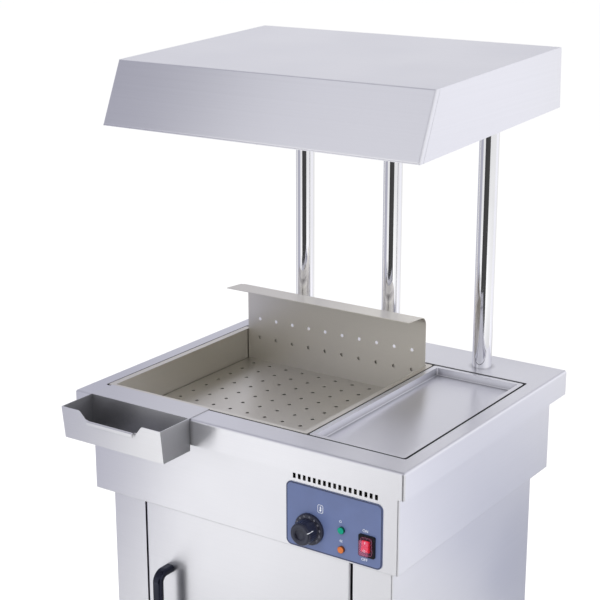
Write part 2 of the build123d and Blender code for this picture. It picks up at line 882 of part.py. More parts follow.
def back_screw_holes(y0, y1):
    bore = screw_diameter + 2 * slide_fit
    return [rod_y(x, y0, y1, z, bore) for x, z in back_screw_places()]


def back_screws():
    screws = []
    for x, z in back_screw_places():
        head = rod_y(x, cab_rear, cab_rear + screw_head, z, screw_head_diameter)
        screws.append(head + rod_y(x, cab_rear - 3 * sheet, cab_rear, z, screw_diameter))
    return together(screws)


def cabinet_floor():
    x1 = cab_right - sheet
    y0, y1 = cab_front + stile_return, cab_rear - sheet
    tray = block(-x1, x1, y0, y1, cab_bottom, cab_bottom + floor_flange)
    return tray - block(-x1 + sheet, x1 - sheet, y0 + sheet, y1 - sheet,
                        cab_bottom + sheet, cab_bottom + floor_flange)


def bottom_rail():
    z1 = cab_bottom + bottom_rail_height
    rail = block(opening_left, opening_right, cab_front, cab_front + stile_return, cab_bottom, z1)
    return rail - block(opening_left, opening_right, cab_front + sheet, cab_front + stile_return,
                        cab_bottom + sheet, z1 - sheet)


def top_rail():
    z0 = cab_top - top_rail_height
    y = top_rail_front
    rail = block(cab_left + sheet, cab_right - sheet, y, y + sheet, z0, cab_top - sheet)
    return rail + block(cab_left + sheet, cab_right - sheet, y, y + fold_flange, z0, z0 + sheet)


def foot_places():
    x = cab_right - foot_inset
    y0, y1 = cab_front + foot_inset + stile_return, cab_rear - foot_inset
    return {"front_left": (-x, y0), "front_right": (x, y0), "rear_left": (-x, y1), "rear_right": (x, y1)}


def foot_seat():
    """Height of a leg's lower face, just above the foot's hexagon."""
    return foot_disc + foot_hex + hole_fit


def foot_sockets():
    sockets = []
    for x, y in foot_places().values():
        w = foot_plate / 2
        z0 = cab_bottom - foot_plate_thickness
        socket = block(x - w, x + w, y - w, y + w, z0, cab_bottom)
        socket += rod(x, y, foot_seat(), z0, foot_leg_diameter)
        bore_end = foot_seat() + foot_stem_length + hole_fit
        sockets.append(socket - rod(x, y, foot_seat(), bore_end, foot_stem_diameter + 2 * slide_fit))
    return together(sockets)


def foot(x, y):
    disc = rod(x, y, 0, foot_disc, foot_disc_diameter)
    disc = fillet(disc.edges().sort_by(Axis.Z)[-1], foot_edge)
    nut = hexagon(x, y, foot_disc, foot_disc + foot_hex, foot_hex_flats)
    stem_bottom = foot_disc + foot_hex
    return disc + nut + rod(x, y, stem_bottom, stem_bottom + foot_stem_length, foot_stem_diameter)


def door_skin():
    skin = block(door_left, door_right, door_front, door_back, door_bottom, door_top)
    corners = skin.edges().filter_by(Axis.Z).group_by(Axis.Y)[0]
    skin = fillet(corners, edge_radius)
    skin -= block(door_left + sheet, door_right - sheet, door_front + sheet, door_back, door_bottom + sheet,
                  door_top - sheet)
    for z0 in (door_bottom, door_top - sheet):
        skin -= rod(hinge_x, hinge_y, z0, z0 + sheet, bush_diameter + 2 * slide_fit)
    for z in handle_legs():
        skin -= rod_y(handle_x, door_front, door_front + sheet, z, screw_diameter + 2 * slide_fit)
    return skin


def door_liner():
    return block(door_left + sheet, door_right - sheet, door_back - sheet, door_back, door_bottom + sheet,
                 door_top - sheet)


def handle_legs():
    return (handle_top - handle_depth / 2, handle_bottom + handle_depth / 2)


def door_handle():
    high, low = handle_legs()
    out = door_front - handle_reach + handle_depth / 2
    path = FilletPolyline((handle_x, door_front, high), (handle_x, out, high), (handle_x, out, low),
                          (handle_x, door_front, low), radius=handle_bend)
    outline = Plane(origin=path @ 0, x_dir=(1, 0, 0), z_dir=path % 0) * RectangleRounded(
        handle_width, handle_depth, handle_round)
    bow = sweep(outline, path=path)
    depth = handle_screw_length - sheet
    return bow - [rod_y(handle_x, door_front - depth, door_front, z, screw_diameter + 2 * running_fit)
                  for z in handle_legs()]


def handle_screws():
    y = door_front + sheet
    screws = []
    for z in handle_legs():
        head = rod_y(handle_x, y, y + screw_head, z, screw_head_diameter)
        screws.append(head + rod_y(handle_x, y - handle_screw_length, y, z, screw_diameter))
    return together(screws)


def hinge_pins():
    """Upright pins on the bottom rail and under the band, each with a collar that spaces the door."""
    rail_top = cab_bottom + bottom_rail_height
    lower = rod(hinge_x, hinge_y, rail_top, door_bottom + pin_reach, pin_diameter)
    lower += rod(hinge_x, hinge_y, rail_top, door_bottom - hole_fit, pin_collar_diameter)
    upper = rod(hinge_x, hinge_y, door_top - pin_reach, cab_top, pin_diameter)
    upper += rod(hinge_x, hinge_y, door_top + hole_fit, cab_top, pin_collar_diameter)
    return together([lower, upper])


def hinge_bushes():
    """Bushes let into the door's lower and upper edges, each with a wider head inside the door."""
    length = pin_reach + bush_end
    low = door_bottom + sheet
    high = door_top - sheet
    lower = rod(hinge_x, hinge_y, door_bottom, low, bush_diameter)
    lower += rod(hinge_x, hinge_y, low, door_bottom + length, bush_head_diameter)
    upper = rod(hinge_x, hinge_y, high, door_top, bush_diameter)
    upper += rod(hinge_x, hinge_y, door_top - length, high, bush_head_diameter)
    bore = pin_diameter + 2 * running_fit
    bore_depth = pin_reach + hole_fit
    lower -= rod(hinge_x, hinge_y, door_bottom, door_bottom + bore_depth, bore)
    upper -= rod(hinge_x, hinge_y, door_top - bore_depth, door_top, bore)
    return together([lower, upper])


def catch_box():
    x0 = door_left + catch_from_left
    z1 = door_top - sheet - catch_drop
    return x0, x0 + catch_length, z1 - catch_height, z1


def magnetic_catch():
    x0, x1, z0, z1 = catch_box()
    return block(x0, x1, door_back + strike_thickness + catch_gap, top_rail_front, z0, z1)


def catch_strike():
    x0, x1, z0, z1 = catch_box()
    return block(x0, x1, door_back, door_back + strike_thickness, z0, z1)


def plane_height(y, level):
    """Height at y of the leaning canopy plane that is level above the canopy's lower edge."""
    lean = radians(canopy_lean)
    along = (y - canopy_rear + level * sin(lean)) / cos(lean)
    return canopy_base + along * sin(lean) + level * cos(lean)


def post_top():
    """Top of a post's upper plug, under the taper washer."""
    return plane_height(post_y - post_diameter / 2, thin_sheet) - taper_least


def posts():
    tubes = []
    for x in post_xs:
        tube = rod(x, post_y, top + plug_flange, post_top() - plug_flange, post_diameter)
        tubes.append(tube - rod(x, post_y, top, post_top(), post_diameter - 2 * post_wall))
    return together(tubes)


def post_plugs():
    inner = post_diameter - 2 * post_wall - 2 * slide_fit
    high = post_top()
    plugs = []
    for x in post_xs:
        low = rod(x, post_y, top, top + plug_flange, post_diameter)
        low += rod(x, post_y, top + plug_flange, top + plug_flange + plug_length, inner)
        low += rod(x, post_y, channel_web_under() - post_stud_below, top, post_stud_diameter)
        cap = rod(x, post_y, high - plug_flange, high, post_diameter)
        cap += rod(x, post_y, high - plug_flange - plug_length, high - plug_flange, inner)
        cap += rod(x, post_y, high, high + post_stud_above, post_stud_diameter)
        plugs += [low, cap]
    return together(plugs)


def channel_web_under():
    return worktop_under - bar_thickness


def post_channel():
    end = post_pitch + channel_overhang
    w = channel_width / 2
    z0 = worktop_under - channel_height
    bar = block(-end, end, post_y - w, post_y + w, z0, worktop_under)
    bar -= block(-end, end, post_y - w + bar_thickness, post_y + w - bar_thickness, z0, channel_web_under())
    bore = post_stud_diameter + 2 * hole_fit
    return bar - [rod(x, post_y, channel_web_under(), worktop_under, bore) for x in post_xs]


def ring(x, z0, z1, diameter):
    return rod(x, post_y, z0, z1, diameter) - rod(x, post_y, z0, z1, post_stud_diameter + 2 * slide_fit)


def nut(x, z0):
    bore = rod(x, post_y, z0, z0 + nut_thickness, post_stud_diameter + 2 * running_fit)
    return hexagon(x, post_y, z0, z0 + nut_thickness, nut_flats) - bore


def post_washers():
    z1 = channel_web_under()
    return together([ring(x, z1 - washer_thickness, z1, washer_diameter) for x in post_xs])


def post_lower_nuts():
    z1 = channel_web_under() - washer_thickness
    return together([nut(x, z1 - nut_thickness) for x in post_xs])


def spine_level():
    """Level of the spine bar's upper face in the canopy."""
    return canopy_floor_top + bar_thickness


def upper_nut_seat():
    return plane_height(post_y + post_diameter / 2, spine_level()) + taper_least


def taper_washers():
    """Pairs of washers, cut to the canopy's lean, under its floor and over its spine bar."""
    room = canopy_height
    above = canopy_place * block(-canopy_half, canopy_half, -canopy_depth, canopy_depth, thin_sheet, room)
    below = canopy_place * block(-canopy_half, canopy_half, -canopy_depth, canopy_depth, -room, spine_level())
    washers = []
    for x in post_xs:
        low = ring(x, post_top(), post_top() + post_diameter / 2, post_diameter) - above
        high = ring(x, upper_nut_seat() - post_diameter / 2, upper_nut_seat(), washer_diameter) - below
        washers += [low, high]
    return together(washers)


def post_upper_nuts():
    return together([nut(x, upper_nut_seat()) for x in post_xs])


def stud_holes(level0, level1):
    """Upright holes for the post studs, through the leaning canopy between two levels."""
    size = post_stud_diameter + 4 * hole_fit
    z0 = plane_height(post_y, level0) - post_stud_diameter
    z1 = plane_height(post_y, level1) + post_stud_diameter
    return [rod(x, post_y, z0, z1, size) for x in post_xs]


def canopy_outline(inset):
    """Canopy side outline in its own Y and Z, from its rear lower edge, set in by a wall."""
    lean_out = inset * sqrt(1 + (canopy_slope / canopy_height) ** 2)
    step = canopy_slope / canopy_height * inset
    crest = -canopy_depth + canopy_slope + lean_out - step
    return [(-inset, 0), (-inset, canopy_height - inset), (crest, canopy_height - inset),
            (-canopy_depth + lean_out, 0)]


def canopy_screw_places():
    x = canopy_half - canopy_screw_inset
    y0 = -canopy_depth + (canopy_panel_setback + canopy_front_lip) / 2
    y1 = -canopy_lip / 2
    return [(px, y) for px in (-x, 0.0, x) for y in (y0, y1)]


def canopy_screw_holes():
    return [rod(x, y, 0, canopy_floor_top, screw_diameter + 2 * slide_fit) for x, y in canopy_screw_places()]


def canopy_skin():
    """Back, top and sloping front in one folded sheet, with lips under the front and back."""
    t = thin_sheet
    outer = profile_x(canopy_outline(0), -canopy_half, canopy_half)
    bends = outer.edges().filter_by(Axis.X)
    outer = fillet(bends.group_by(Axis.Z)[-1] + bends.group_by(Axis.Z)[0].sort_by(Axis.Y)[:1], edge_radius)
    skin = outer - profile_x(canopy_outline(t), -canopy_half, canopy_half)
    y_front = -canopy_depth
    width = canopy_half - t
    skin += block(-width, width, y_front + t, y_front + canopy_front_lip, 0, t)
    skin += block(-width, width, -canopy_lip, -t, 0, t)
    high = canopy_height - t
    run = canopy_slope / canopy_height * high
    fold = y_front + canopy_return
    inner = y_front + t
    strip = [(inner, 0), (fold, 0), (fold + run, high), (inner + run, high)]
    for x0 in (-canopy_half, canopy_half - t):
        skin += profile_x(strip, x0, x0 + t)
    r = canopy_fold
    lean = degrees(atan2(canopy_slope, canopy_height))
    length = sqrt(canopy_height ** 2 + canopy_slope ** 2) + r
    room = block(-canopy_half, canopy_half, y_front, 0, 0, high)
    for sign in (-1, 1):
        edge = Location((sign * canopy_half, y_front, 0), (-lean, 0, 0))
        skin -= edge * (block(-r, r, -r, r, -r, length) - rod(-sign * r, r, -r, length, 2 * r))
        x0, x1 = sorted((-sign * r, -sign * t))
        inside = block(x0, x1, t, r, 0, length) - rod(-sign * r, r, 0, length, 2 * (r - t))
        skin += (edge * inside) & room
    return canopy_place * (skin - canopy_screw_holes())


def canopy_cheek(sign):
    """A side panel let in flush, with a lip that the floor panel lies on."""
    t = thin_sheet
    rise = canopy_slope / canopy_height
    start = -canopy_depth + canopy_return + canopy_seam
    high = canopy_height - t
    points = [(start, 0), (start + rise * high, high), (-t, high), (-t, 0)]
    x0, x1 = sorted((sign * (canopy_half - t), sign * canopy_half))
    cheek = profile_x(points, x0, x1)
    a, b = sorted((sign * (canopy_half - canopy_lip), sign * canopy_half))
    front = -canopy_depth + canopy_front_lip + canopy_lip
    cheek += block(a, b, front, -2 * canopy_lip, 0, t)
    return canopy_place * cheek


def lamp_centres():
    offset = (lamp_opening_length + lamp_gap) / 2
    return [(x, -lamp_setback) for x in (-offset, offset)]


def canopy_floor():
    t = thin_sheet
    x = canopy_half - t
    y0 = -canopy_depth + canopy_panel_setback
    panel = block(-x, x, y0, -t, t, canopy_floor_top)
    a, b = lamp_opening_length / 2, lamp_opening_width / 2
    for cx, cy in lamp_centres():
        panel -= block(cx - a, cx + a, cy - b, cy + b, t, canopy_floor_top)
    return canopy_place * (panel - canopy_screw_holes()) - stud_holes(t, canopy_floor_top)


def canopy_screws():
    screws = []
    for x, y in canopy_screw_places():
        head = rod(x, y, -screw_head, 0, screw_head_diameter)
        screws.append(head + rod(x, y, 0, canopy_floor_top + thin_sheet, screw_diameter))
    return canopy_place * together(screws)


def spine_bar():
    x = post_pitch + spine_overhang
    lean = radians(canopy_lean)
    y = (post_y - canopy_rear) / cos(lean)
    w = spine_width / 2
    bar = block(-x, x, y - w, y + w, canopy_floor_top, spine_level())
    return canopy_place * bar - stud_holes(canopy_floor_top, spine_level())


def reflector(cx, cy):
    """A bent trough over a lamp opening, closed at both ends, with a flange on the floor panel."""
    t = thin_sheet
    z0 = canopy_floor_top
    z1 = z0 + reflector_height
    w0, w1 = lamp_opening_width / 2, reflector_top_width / 2
    x0, x1 = cx - lamp_opening_length / 2, cx + lamp_opening_length / 2
    outside = [(cy - w0 - t, z0), (cy - w1 - t, z1), (cy + w1 + t, z1), (cy + w0 + t, z0)]
    outer = profile_x(outside, x0 - t, x1 + t)
    inside = [(cy - w0, z0), (cy - w1, z1 - t), (cy + w1, z1 - t), (cy + w0, z0)]
    inner = profile_x(inside, x0, x1)
    f = reflector_flange
    flange = block(x0 - t - f, x1 + t + f, cy - w0 - t - f, cy + w0 + t + f, z0, z0 + t)
    flange -= block(x0, x1, cy - w0, cy + w0, z0, z0 + t)
    trough = outer + flange - inner
    return canopy_place * trough


def lamp_holders():
    holders = []
    s = holder_size / 2
    z = canopy_floor_top + tube_height
    for cx, cy in lamp_centres():
        for sign in (-1, 1):
            end = cx + sign * lamp_opening_length / 2
            x0, x1 = sorted((end, end - sign * holder_length))
            body = block(x0, x1, cy - s, cy + s, z - s, z + s)
            inner = end - sign * holder_length
            a, b = sorted((inner, inner + sign * holder_socket))
            holders.append(body - rod_x(a, b, cy, z, tube_diameter + 2 * hole_fit))
    return canopy_place * together(holders)


def heat_tubes():
    tubes = []
    reach = lamp_opening_length / 2 - holder_length + holder_socket
    for cx, cy in lamp_centres():
        tubes.append(rod_x(cx - reach, cx + reach, cy, canopy_floor_top + tube_height, tube_diameter))
    return canopy_place * together(tubes)


def lamp_guards():
    guards = []
    z1 = thin_sheet
    z0 = z1 - guard_thickness
    for cx, cy in lamp_centres():
        a, b = lamp_opening_length / 2, lamp_opening_width / 2
        w, d = a + guard_border, b + guard_border
        guard = block(cx - w, cx + w, cy - d, cy + d, z0, z1)
        gap = (lamp_opening_width - guard_bars * guard_bar) / (guard_bars + 1)
        for i in range(guard_bars + 1):
            y0 = cy - b + i * (gap + guard_bar)
            for x0, x1 in ((cx - a, cx - guard_bar / 2), (cx + guard_bar / 2, cx + a)):
                guard -= block(x0, x1, y0, y0 + gap, z0, z1)
        guards.append(guard)
    return canopy_place * together(guards)


def nodes():
    """Every node of the assembly, by name."""
    left, right = lamp_centres()
    made = {
        "worktop": worktop(),
        "bay_well": bay_well(),
        "divider_bar": divider_bar(),
        "chip_pan": chip_pan(),
        "perforated_insert": perforated_insert(),
        "bagging_tray": bagging_tray(),
        "hook_tray": hook_tray(),
        "heating_element": element(),
        "element_clamps": together([element_straps(), element_studs(), element_nuts()]),
        "insulation_slab": insulation_slab(),
        "heat_baffle": heat_baffle(),
        "control_housing": control_housing(),
        "fascia_plate": fascia_plate(),
        "thermostat_body": thermostat_body(),
        "thermostat_shaft": thermostat_shaft(),
        "thermostat_knob": thermostat_knob(),
        "thermostat_sensor": thermostat_sensor(),
        "green_lens": lens(green_z),
        "amber_lens": lens(amber_z),
        "pilot_lamp_bodies": pilot_lamp_bodies(),
        "switch_housing": switch_housing(),
        "rocker": rocker(),
        "switch_boot": switch_boot(),
        "compartment_tray": compartment_tray(),
        "terminal_block": terminal_block(),
        "cable_gland": cable_gland(),
        "cabinet_left_side": cabinet_side(-1),
        "cabinet_right_side": cabinet_side(1),
        "back_panel": back_panel(),
        "cabinet_floor": cabinet_floor(),
        "bottom_rail": bottom_rail(),
        "top_rail": top_rail(),
        "foot_sockets": foot_sockets(),
        "door_skin": door_skin(),
        "door_liner": door_liner(),
        "door_handle": door_handle(),
        "handle_screws": handle_screws(),
        "hinge_pins": hinge_pins(),
        "hinge_bushes": hinge_bushes(),
        "magnetic_catch": magnetic_catch(),
        "catch_strike": catch_strike(),
        "posts": posts(),
        "post_plugs": post_plugs(),
        "post_channel": post_channel(),
        "post_hardware": together([post_washers(), post_lower_nuts(), post_upper_nuts(), taper_washers()]),
        "spine_bar": spine_bar(),
        "canopy_skin": canopy_skin(),
        "canopy_left_cheek": canopy_cheek(-1),
        "canopy_right_cheek": canopy_cheek(1),
        "canopy_floor": canopy_floor(),
        "panel_screws": together([back_screws(), canopy_screws()]),
        "lamp_reflectors": together([reflector(*left), reflector(*right)]),
        "lamp_holders": lamp_holders(),
        "heat_tubes": heat_tubes(),
        "lamp_guards": lamp_guards(),
    }
    made.update({"foot_" + name: foot(x, y) for name, (x, y) in foot_places().items()})
    return made


os.makedirs("parts", exist_ok=True)
for name, shape in nodes().items():
    export_step(shape, "parts/" + name + ".step")
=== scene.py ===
import json
import math

import bmesh
import bpy
from mathutils import Matrix, Vector


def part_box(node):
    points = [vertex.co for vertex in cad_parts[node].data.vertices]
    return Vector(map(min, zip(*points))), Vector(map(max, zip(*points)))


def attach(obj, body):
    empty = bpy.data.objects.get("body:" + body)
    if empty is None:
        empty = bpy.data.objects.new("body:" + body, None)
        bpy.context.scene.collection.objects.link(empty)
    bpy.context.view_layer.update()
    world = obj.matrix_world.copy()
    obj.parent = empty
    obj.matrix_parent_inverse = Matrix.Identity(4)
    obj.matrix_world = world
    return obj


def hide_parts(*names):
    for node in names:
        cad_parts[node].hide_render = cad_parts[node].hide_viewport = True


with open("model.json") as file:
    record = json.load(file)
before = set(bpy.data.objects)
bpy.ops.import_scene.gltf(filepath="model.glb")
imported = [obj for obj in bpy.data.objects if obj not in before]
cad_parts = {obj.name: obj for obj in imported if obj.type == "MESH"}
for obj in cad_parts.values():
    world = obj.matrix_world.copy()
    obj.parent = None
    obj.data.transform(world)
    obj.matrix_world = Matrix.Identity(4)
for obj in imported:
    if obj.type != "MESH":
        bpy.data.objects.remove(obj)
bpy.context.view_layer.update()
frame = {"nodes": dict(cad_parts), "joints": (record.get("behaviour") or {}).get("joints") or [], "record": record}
nodes = frame["nodes"]
scene = bpy.context.scene
MM = 0.001

# What the looks share: ranges of patterns that are put to use, and the height of fine bumps in metres
NOISE_LOW, NOISE_HIGH = 0.3, 0.7
WIPED_LOW, WIPED_HIGH = 0.35, 0.65
# AIR_LOW and AIR_HIGH: the ambient occlusion range over which steel's painted shade fades in
AIR_LOW, AIR_HIGH = 0.2, 0.9
LEVEL_NORMAL = 0.7
STREAK_GLOSS = 0.006
FINE_BUMP = 0.0001


def shade(colour, factor):
    """A colour made darker or lighter by a factor."""
    return (*[min(1.0, c * factor) for c in colour], 1.0)


class Shader:
    """The nodes of a material or a world while they are being put together."""

    def __init__(self, tree):
        self.tree = tree
        self.coords = self.node("TexCoord").outputs

    def node(self, kind, inputs=None, **settings):
        made = self.tree.nodes.new("ShaderNode" + kind)
        for key, value in settings.items():
            setattr(made, key, value)
        for key, value in (inputs or {}).items():
            self.give(made.inputs[key], value)
        return made

    def give(self, socket, value):
        if isinstance(value, bpy.types.NodeSocket):
            self.tree.links.new(value, socket)
        else:
            socket.default_value = value

    def math(self, operation, a, b=0.0):
        return self.node("Math", {0: a, 1: b}, operation=operation).outputs[0]

    def parts(self, vector):
        """The X, Y and Z of a vector."""
        return self.node("SeparateXYZ", {0: vector}).outputs[:]

    def noise(self, vector, scale, detail=2.0, roughness=0.5, size="3D"):
        inputs = {"Vector": vector, "Scale": scale, "Detail": detail, "Roughness": roughness}
        return self.node("TexNoise", inputs, noise_dimensions=size).outputs["Fac"]

    def lines(self, along, across, stretch, grain, detail, roughness):
        """A pattern of fine lines; stretch and grain are its scales along and across them."""
        place = {0: self.math("MULTIPLY", along, stretch), 1: self.math("MULTIPLY", across, grain)}
        vector = self.node("CombineXYZ", place).outputs[0]
        return self.noise(vector, 1.0, detail, roughness, "2D")

    def span(self, value, low, high, to_low, to_high, **settings):
        inputs = {"Value": value, "From Min": low, "From Max": high, "To Min": to_low, "To Max": to_high}
        return self.node("MapRange", inputs, **settings).outputs["Result"]

    def between(self, pattern, low, high):
        """A value that runs from low to high with a noise pattern."""
        return self.span(pattern, NOISE_LOW, NOISE_HIGH, low, high)

    def facing(self, low, high, side, front):
        """A value that runs from side to front as a surface turns to face along Y."""
        x, y, z = self.parts(self.coords["Normal"])
        return self.span(self.math("ABSOLUTE", y), low, high, side, front)

    def mix(self, factor, a, b):
        return self.node("Mix", {0: factor, 6: a, 7: b}, data_type="RGBA").outputs[2]

    def tones(self, pattern, colour, dark, light):
        """A colour that runs between two shades of itself with a noise pattern."""
        return self.mix(self.between(pattern, 0.0, 1.0), shade(colour, dark), shade(colour, light))


class Look(Shader):
    """A new material."""

    def __init__(self, name, **constants):
        self.material = bpy.data.materials.new(name)
        self.material.use_nodes = True
        super().__init__(self.material.node_tree)
        self.surface = self.tree.nodes["Principled BSDF"]
        self.set(**constants)

    def set(self, **inputs):
        for key, value in inputs.items():
            self.give(self.surface.inputs[key.replace("_", " ")], value)

    def bump(self, height, strength, distance=FINE_BUMP):
        inputs = {"Height": height, "Strength": strength, "Distance": distance}
        return self.node("Bump", inputs).outputs["Normal"]

    def show(self, shader):
        """Shows another shader in place of the usual surface."""
        self.give(self.tree.nodes["Material Output"].inputs["Surface"], shader.outputs[0])


def steel(name, colour, rough, streak=0.01, grain=900.0, cloud=0.02, drawn=0.85, shadow=0.0, depth=0.08):
    """Sheet metal brushed along its length, with fine streaks and faint cloudy wipe marks.

    The brushing smears mirror images across the grain by drawn. Where shadow is given, corners and
    hollows up to depth metres deep get painted shade: their colour is darkened by that share.
    """
    look = Look(name, Metallic=1.0, Anisotropic=drawn)
    tilt = look.parts(look.coords["Normal"])[2]
    level = look.math("GREATER_THAN", look.math("ABSOLUTE", tilt), LEVEL_NORMAL)
    upright = look.math("SUBTRACT", 1.0, level)
    x, y, z = look.parts(look.coords["Object"])
    across = look.math("ADD", look.math("MULTIPLY", level, y), look.math("MULTIPLY", upright, z))
    along = look.math("ADD", x, look.math("MULTIPLY", upright, y))
    fine = look.lines(along, across, stretch=1.2, grain=grain, detail=5.0, roughness=0.6)
    wiped = look.noise(look.coords["Object"], scale=4.5, detail=3.0)
    tone = look.tones(fine, colour, 1 - streak, 1 + streak)
    # Painted shade: the colour darkens by the share shadow where ambient occlusion finds corners and hollows
    if shadow:
        air = look.node("AmbientOcclusion", {"Distance": depth}, samples=16).outputs["AO"]
        tone = look.mix(look.span(air, AIR_LOW, AIR_HIGH, 0.0, 1.0), shade(colour, 1 - shadow), tone)
    roughness = look.math("ADD", look.between(fine, rough - STREAK_GLOSS, rough + STREAK_GLOSS),
                          look.span(wiped, WIPED_LOW, WIPED_HIGH, -cloud, cloud))
    look.set(Base_Color=tone, Roughness=roughness)
    if drawn:
        look.set(Tangent=look.node("CombineXYZ", {1: level, 2: upright}).outputs[0])
    return look.material


def plastic(name, colour, rough, grain=1400.0, bump=0.08, vary=0.12, **constants):
    """Moulded plastic with a fine spark texture and slight changes of tone and gloss."""
    look = Look(name, **constants)
    spark = look.noise(look.coords["Object"], scale=grain)
    wide = look.noise(look.coords["Object"], scale=35.0, detail=3.0, roughness=0.55)
    look.set(Base_Color=look.tones(wide, colour, 1 - vary, 1 + vary),
             Roughness=look.between(wide, rough - 0.05, rough + 0.05), Normal=look.bump(spark, bump))
    return look.material


def chrome(name, colour):
    """Bright plating with a trace of polishing lines round the tube."""
    look = Look(name, Metallic=1.0)
    x, y, z = look.parts(look.coords["Object"])
    rings = look.lines(x, z, stretch=20.0, grain=900.0, detail=4.0, roughness=0.6)
    haze = look.noise(look.coords["Object"], scale=9.0, detail=3.0, roughness=0.6)
    look.set(Base_Color=look.tones(haze, colour, 0.97, 1.02), Roughness=look.between(haze, 0.035, 0.075),
             Normal=look.bump(rings, 0.02))
    return look.material


def fibre(name, colour):
    """Pressed mineral fibre."""
    look = Look(name, Roughness=0.95)
    strands = look.noise(look.coords["Object"], scale=260.0, detail=8.0, roughness=0.75)
    clumps = look.noise(look.coords["Object"], scale=40.0, detail=3.0, roughness=0.6)
    look.set(Base_Color=look.tones(clumps, colour, 0.8, 1.1), Normal=look.bump(strands, 0.5, MM))
    return look.material


def lens(name, colour, rough):
    """A coloured lamp lens with painted shade, which darkens its colour down its sides."""
    look = Look(name, Roughness=rough, Specular_IOR_Level=0.25)
    cast = look.noise(look.coords["Object"], scale=160.0)
    face = look.tones(cast, colour, 0.92, 1.06)
    # Painted shade: the colour darkens to a fifth where the surface turns away from facing along Y
    look.set(Base_Color=look.mix(look.facing(0.25, 0.95, side=0.0, front=1.0), shade(colour, 0.2), face))
    return look.material


def clear(name, colour, rough, thin, dense):
    """See-through plastic, from thin down its sides to dense over its front."""
    look = Look(name, Specular_IOR_Level=0.3)
    wide = look.noise(look.coords["Object"], scale=90.0, detail=3.0, roughness=0.55)
    look.set(Base_Color=look.tones(wide, colour, 0.93, 1.05),
             Roughness=look.between(wide, rough - 0.04, rough + 0.04),
             Alpha=look.facing(0.2, 0.9, side=thin, front=dense))
    return look.material


def glass(name, colour):
    """Quartz with faint draw lines."""
    look = Look(name, Transmission_Weight=1.0, IOR=1.46)
    x, y, z = look.parts(look.coords["Object"])
    drawn = look.lines(x, z, stretch=8.0, grain=500.0, detail=3.0, roughness=0.5)
    look.set(Base_Color=look.mix(drawn, shade(colour, 0.96), shade(colour, 1.0)),
             Roughness=look.between(drawn, 0.02, 0.06))
    return look.material


stainless = (0.86, 0.86, 0.9)
# Where a steel is given shadow, its corners, gaps and hollows get painted shade
looks = {
    "worktop_steel": steel("worktop_steel", stainless, 0.31, shadow=0.7, depth=0.012),
    "cabinet_steel": steel("cabinet_steel", stainless, 0.31, shadow=0.3, depth=0.02),
    "canopy_steel": steel("canopy_steel", stainless, 0.32, streak=0.012, grain=300.0),
    # The pans' warm tint is painted light: the yellow glow of the heat lamps on them
    "pan_steel": steel("pan_steel", (0.87, 0.84, 0.77), 0.34, shadow=0.3, depth=0.2),
    "hook_tray_steel": steel("hook_tray_steel", (0.86, 0.86, 0.88), 0.31, shadow=0.56),
    "post_chrome": chrome("post_chrome", (0.9, 0.9, 0.92)),
    "fixing_steel": steel("fixing_steel", (0.6, 0.6, 0.62), 0.3, drawn=0.0),
    "structure_steel": steel("structure_steel", (0.52, 0.52, 0.54), 0.45, streak=0.1, cloud=0.1, drawn=0.0),
    "foot_steel": steel("foot_steel", (0.62, 0.62, 0.64), 0.3, grain=1200.0, drawn=0.0),
    "element_sheath": steel("element_sheath", (0.28, 0.27, 0.26), 0.5, streak=0.2, cloud=0.1, drawn=0.0),
    "insulation": fibre("insulation", (0.82, 0.79, 0.7)),
    "black_plastic": plastic("black_plastic", (0.006, 0.006, 0.01), 0.2, bump=0.03, Specular_IOR_Level=0.6),
    "white_plastic": plastic("white_plastic", (0.8, 0.79, 0.76), 0.45, vary=0.05),
    "lamp_ceramic": plastic("lamp_ceramic", (0.82, 0.8, 0.75), 0.3, vary=0.05),
    "clear_cover": clear("clear_cover", (0.8, 0.25, 0.45), 0.12, thin=0.04, dense=0.18),
    "rocker_red": plastic("rocker_red", (0.78, 0.005, 0.012), 0.35, Specular_IOR_Level=0.3),
    "lens_green": lens("lens_green", (0.0, 0.31, 0.2), 0.3),
    "lens_amber": lens("lens_amber", (0.62, 0.17, 0.045), 0.3),
    "fascia_print": plastic("fascia_print", (0.125, 0.165, 0.33), 0.36, grain=2600.0, bump=0.05, vary=0.05),
    "reflector": steel("reflector", (0.88, 0.88, 0.88), 0.16, grain=500.0, drawn=0.0),
    "quartz": glass("quartz", (0.97, 0.96, 0.94)),
}
for part in frame["record"]["subparts"]:
    mesh = nodes[part["node"]].data
    mesh.materials.clear()
    mesh.materials.append(looks[part["material_slot"]])

# Two of the black mouldings differ in gloss from the rest, and the well under the pans is painted dark as painted
# shade where it shows through holes and gaps
own_looks = {
    "bay_well": steel("well_painted_shade", (0.22, 0.22, 0.22), 0.5, drawn=0.0),
    "switch_housing": plastic("bezel_black", (0.006, 0.006, 0.009), 0.4, Specular_IOR_Level=0.2),
    # The handle's bluish specular tint is painted light, a cool cast on its highlights
    "door_handle": plastic("handle_black", (0.004, 0.004, 0.008), 0.1, bump=0.01, Specular_IOR_Level=0.5,
                           Specular_Tint=(0.6, 0.66, 1.0, 1.0)),
}
for node, look in own_looks.items():
    nodes[node].data.materials[0] = look

# Looks of what this script adds to the solids or puts in their place
ink_white = plastic("ink_white", (0.86, 0.88, 0.93), 0.4, vary=0.04)
ink_navy = plastic("ink_navy", (0.035, 0.045, 0.1), 0.4)
ink_grey = plastic("ink_grey", (0.27, 0.27, 0.32), 0.45)
# The dial's bluish specular tint is painted light, a cool cast on its highlights
dial_black = plastic("dial_black", (0.011, 0.011, 0.019), 0.3, bump=0.03, Specular_IOR_Level=0.75,
                     Specular_Tint=(0.75, 0.8, 1.0, 1.0))

# Shapes: points closer than WELD metres are one, and LETTER_HEIGHT is a capital's share of its font size
WELD = 1e-6
LETTER_HEIGHT = 0.69


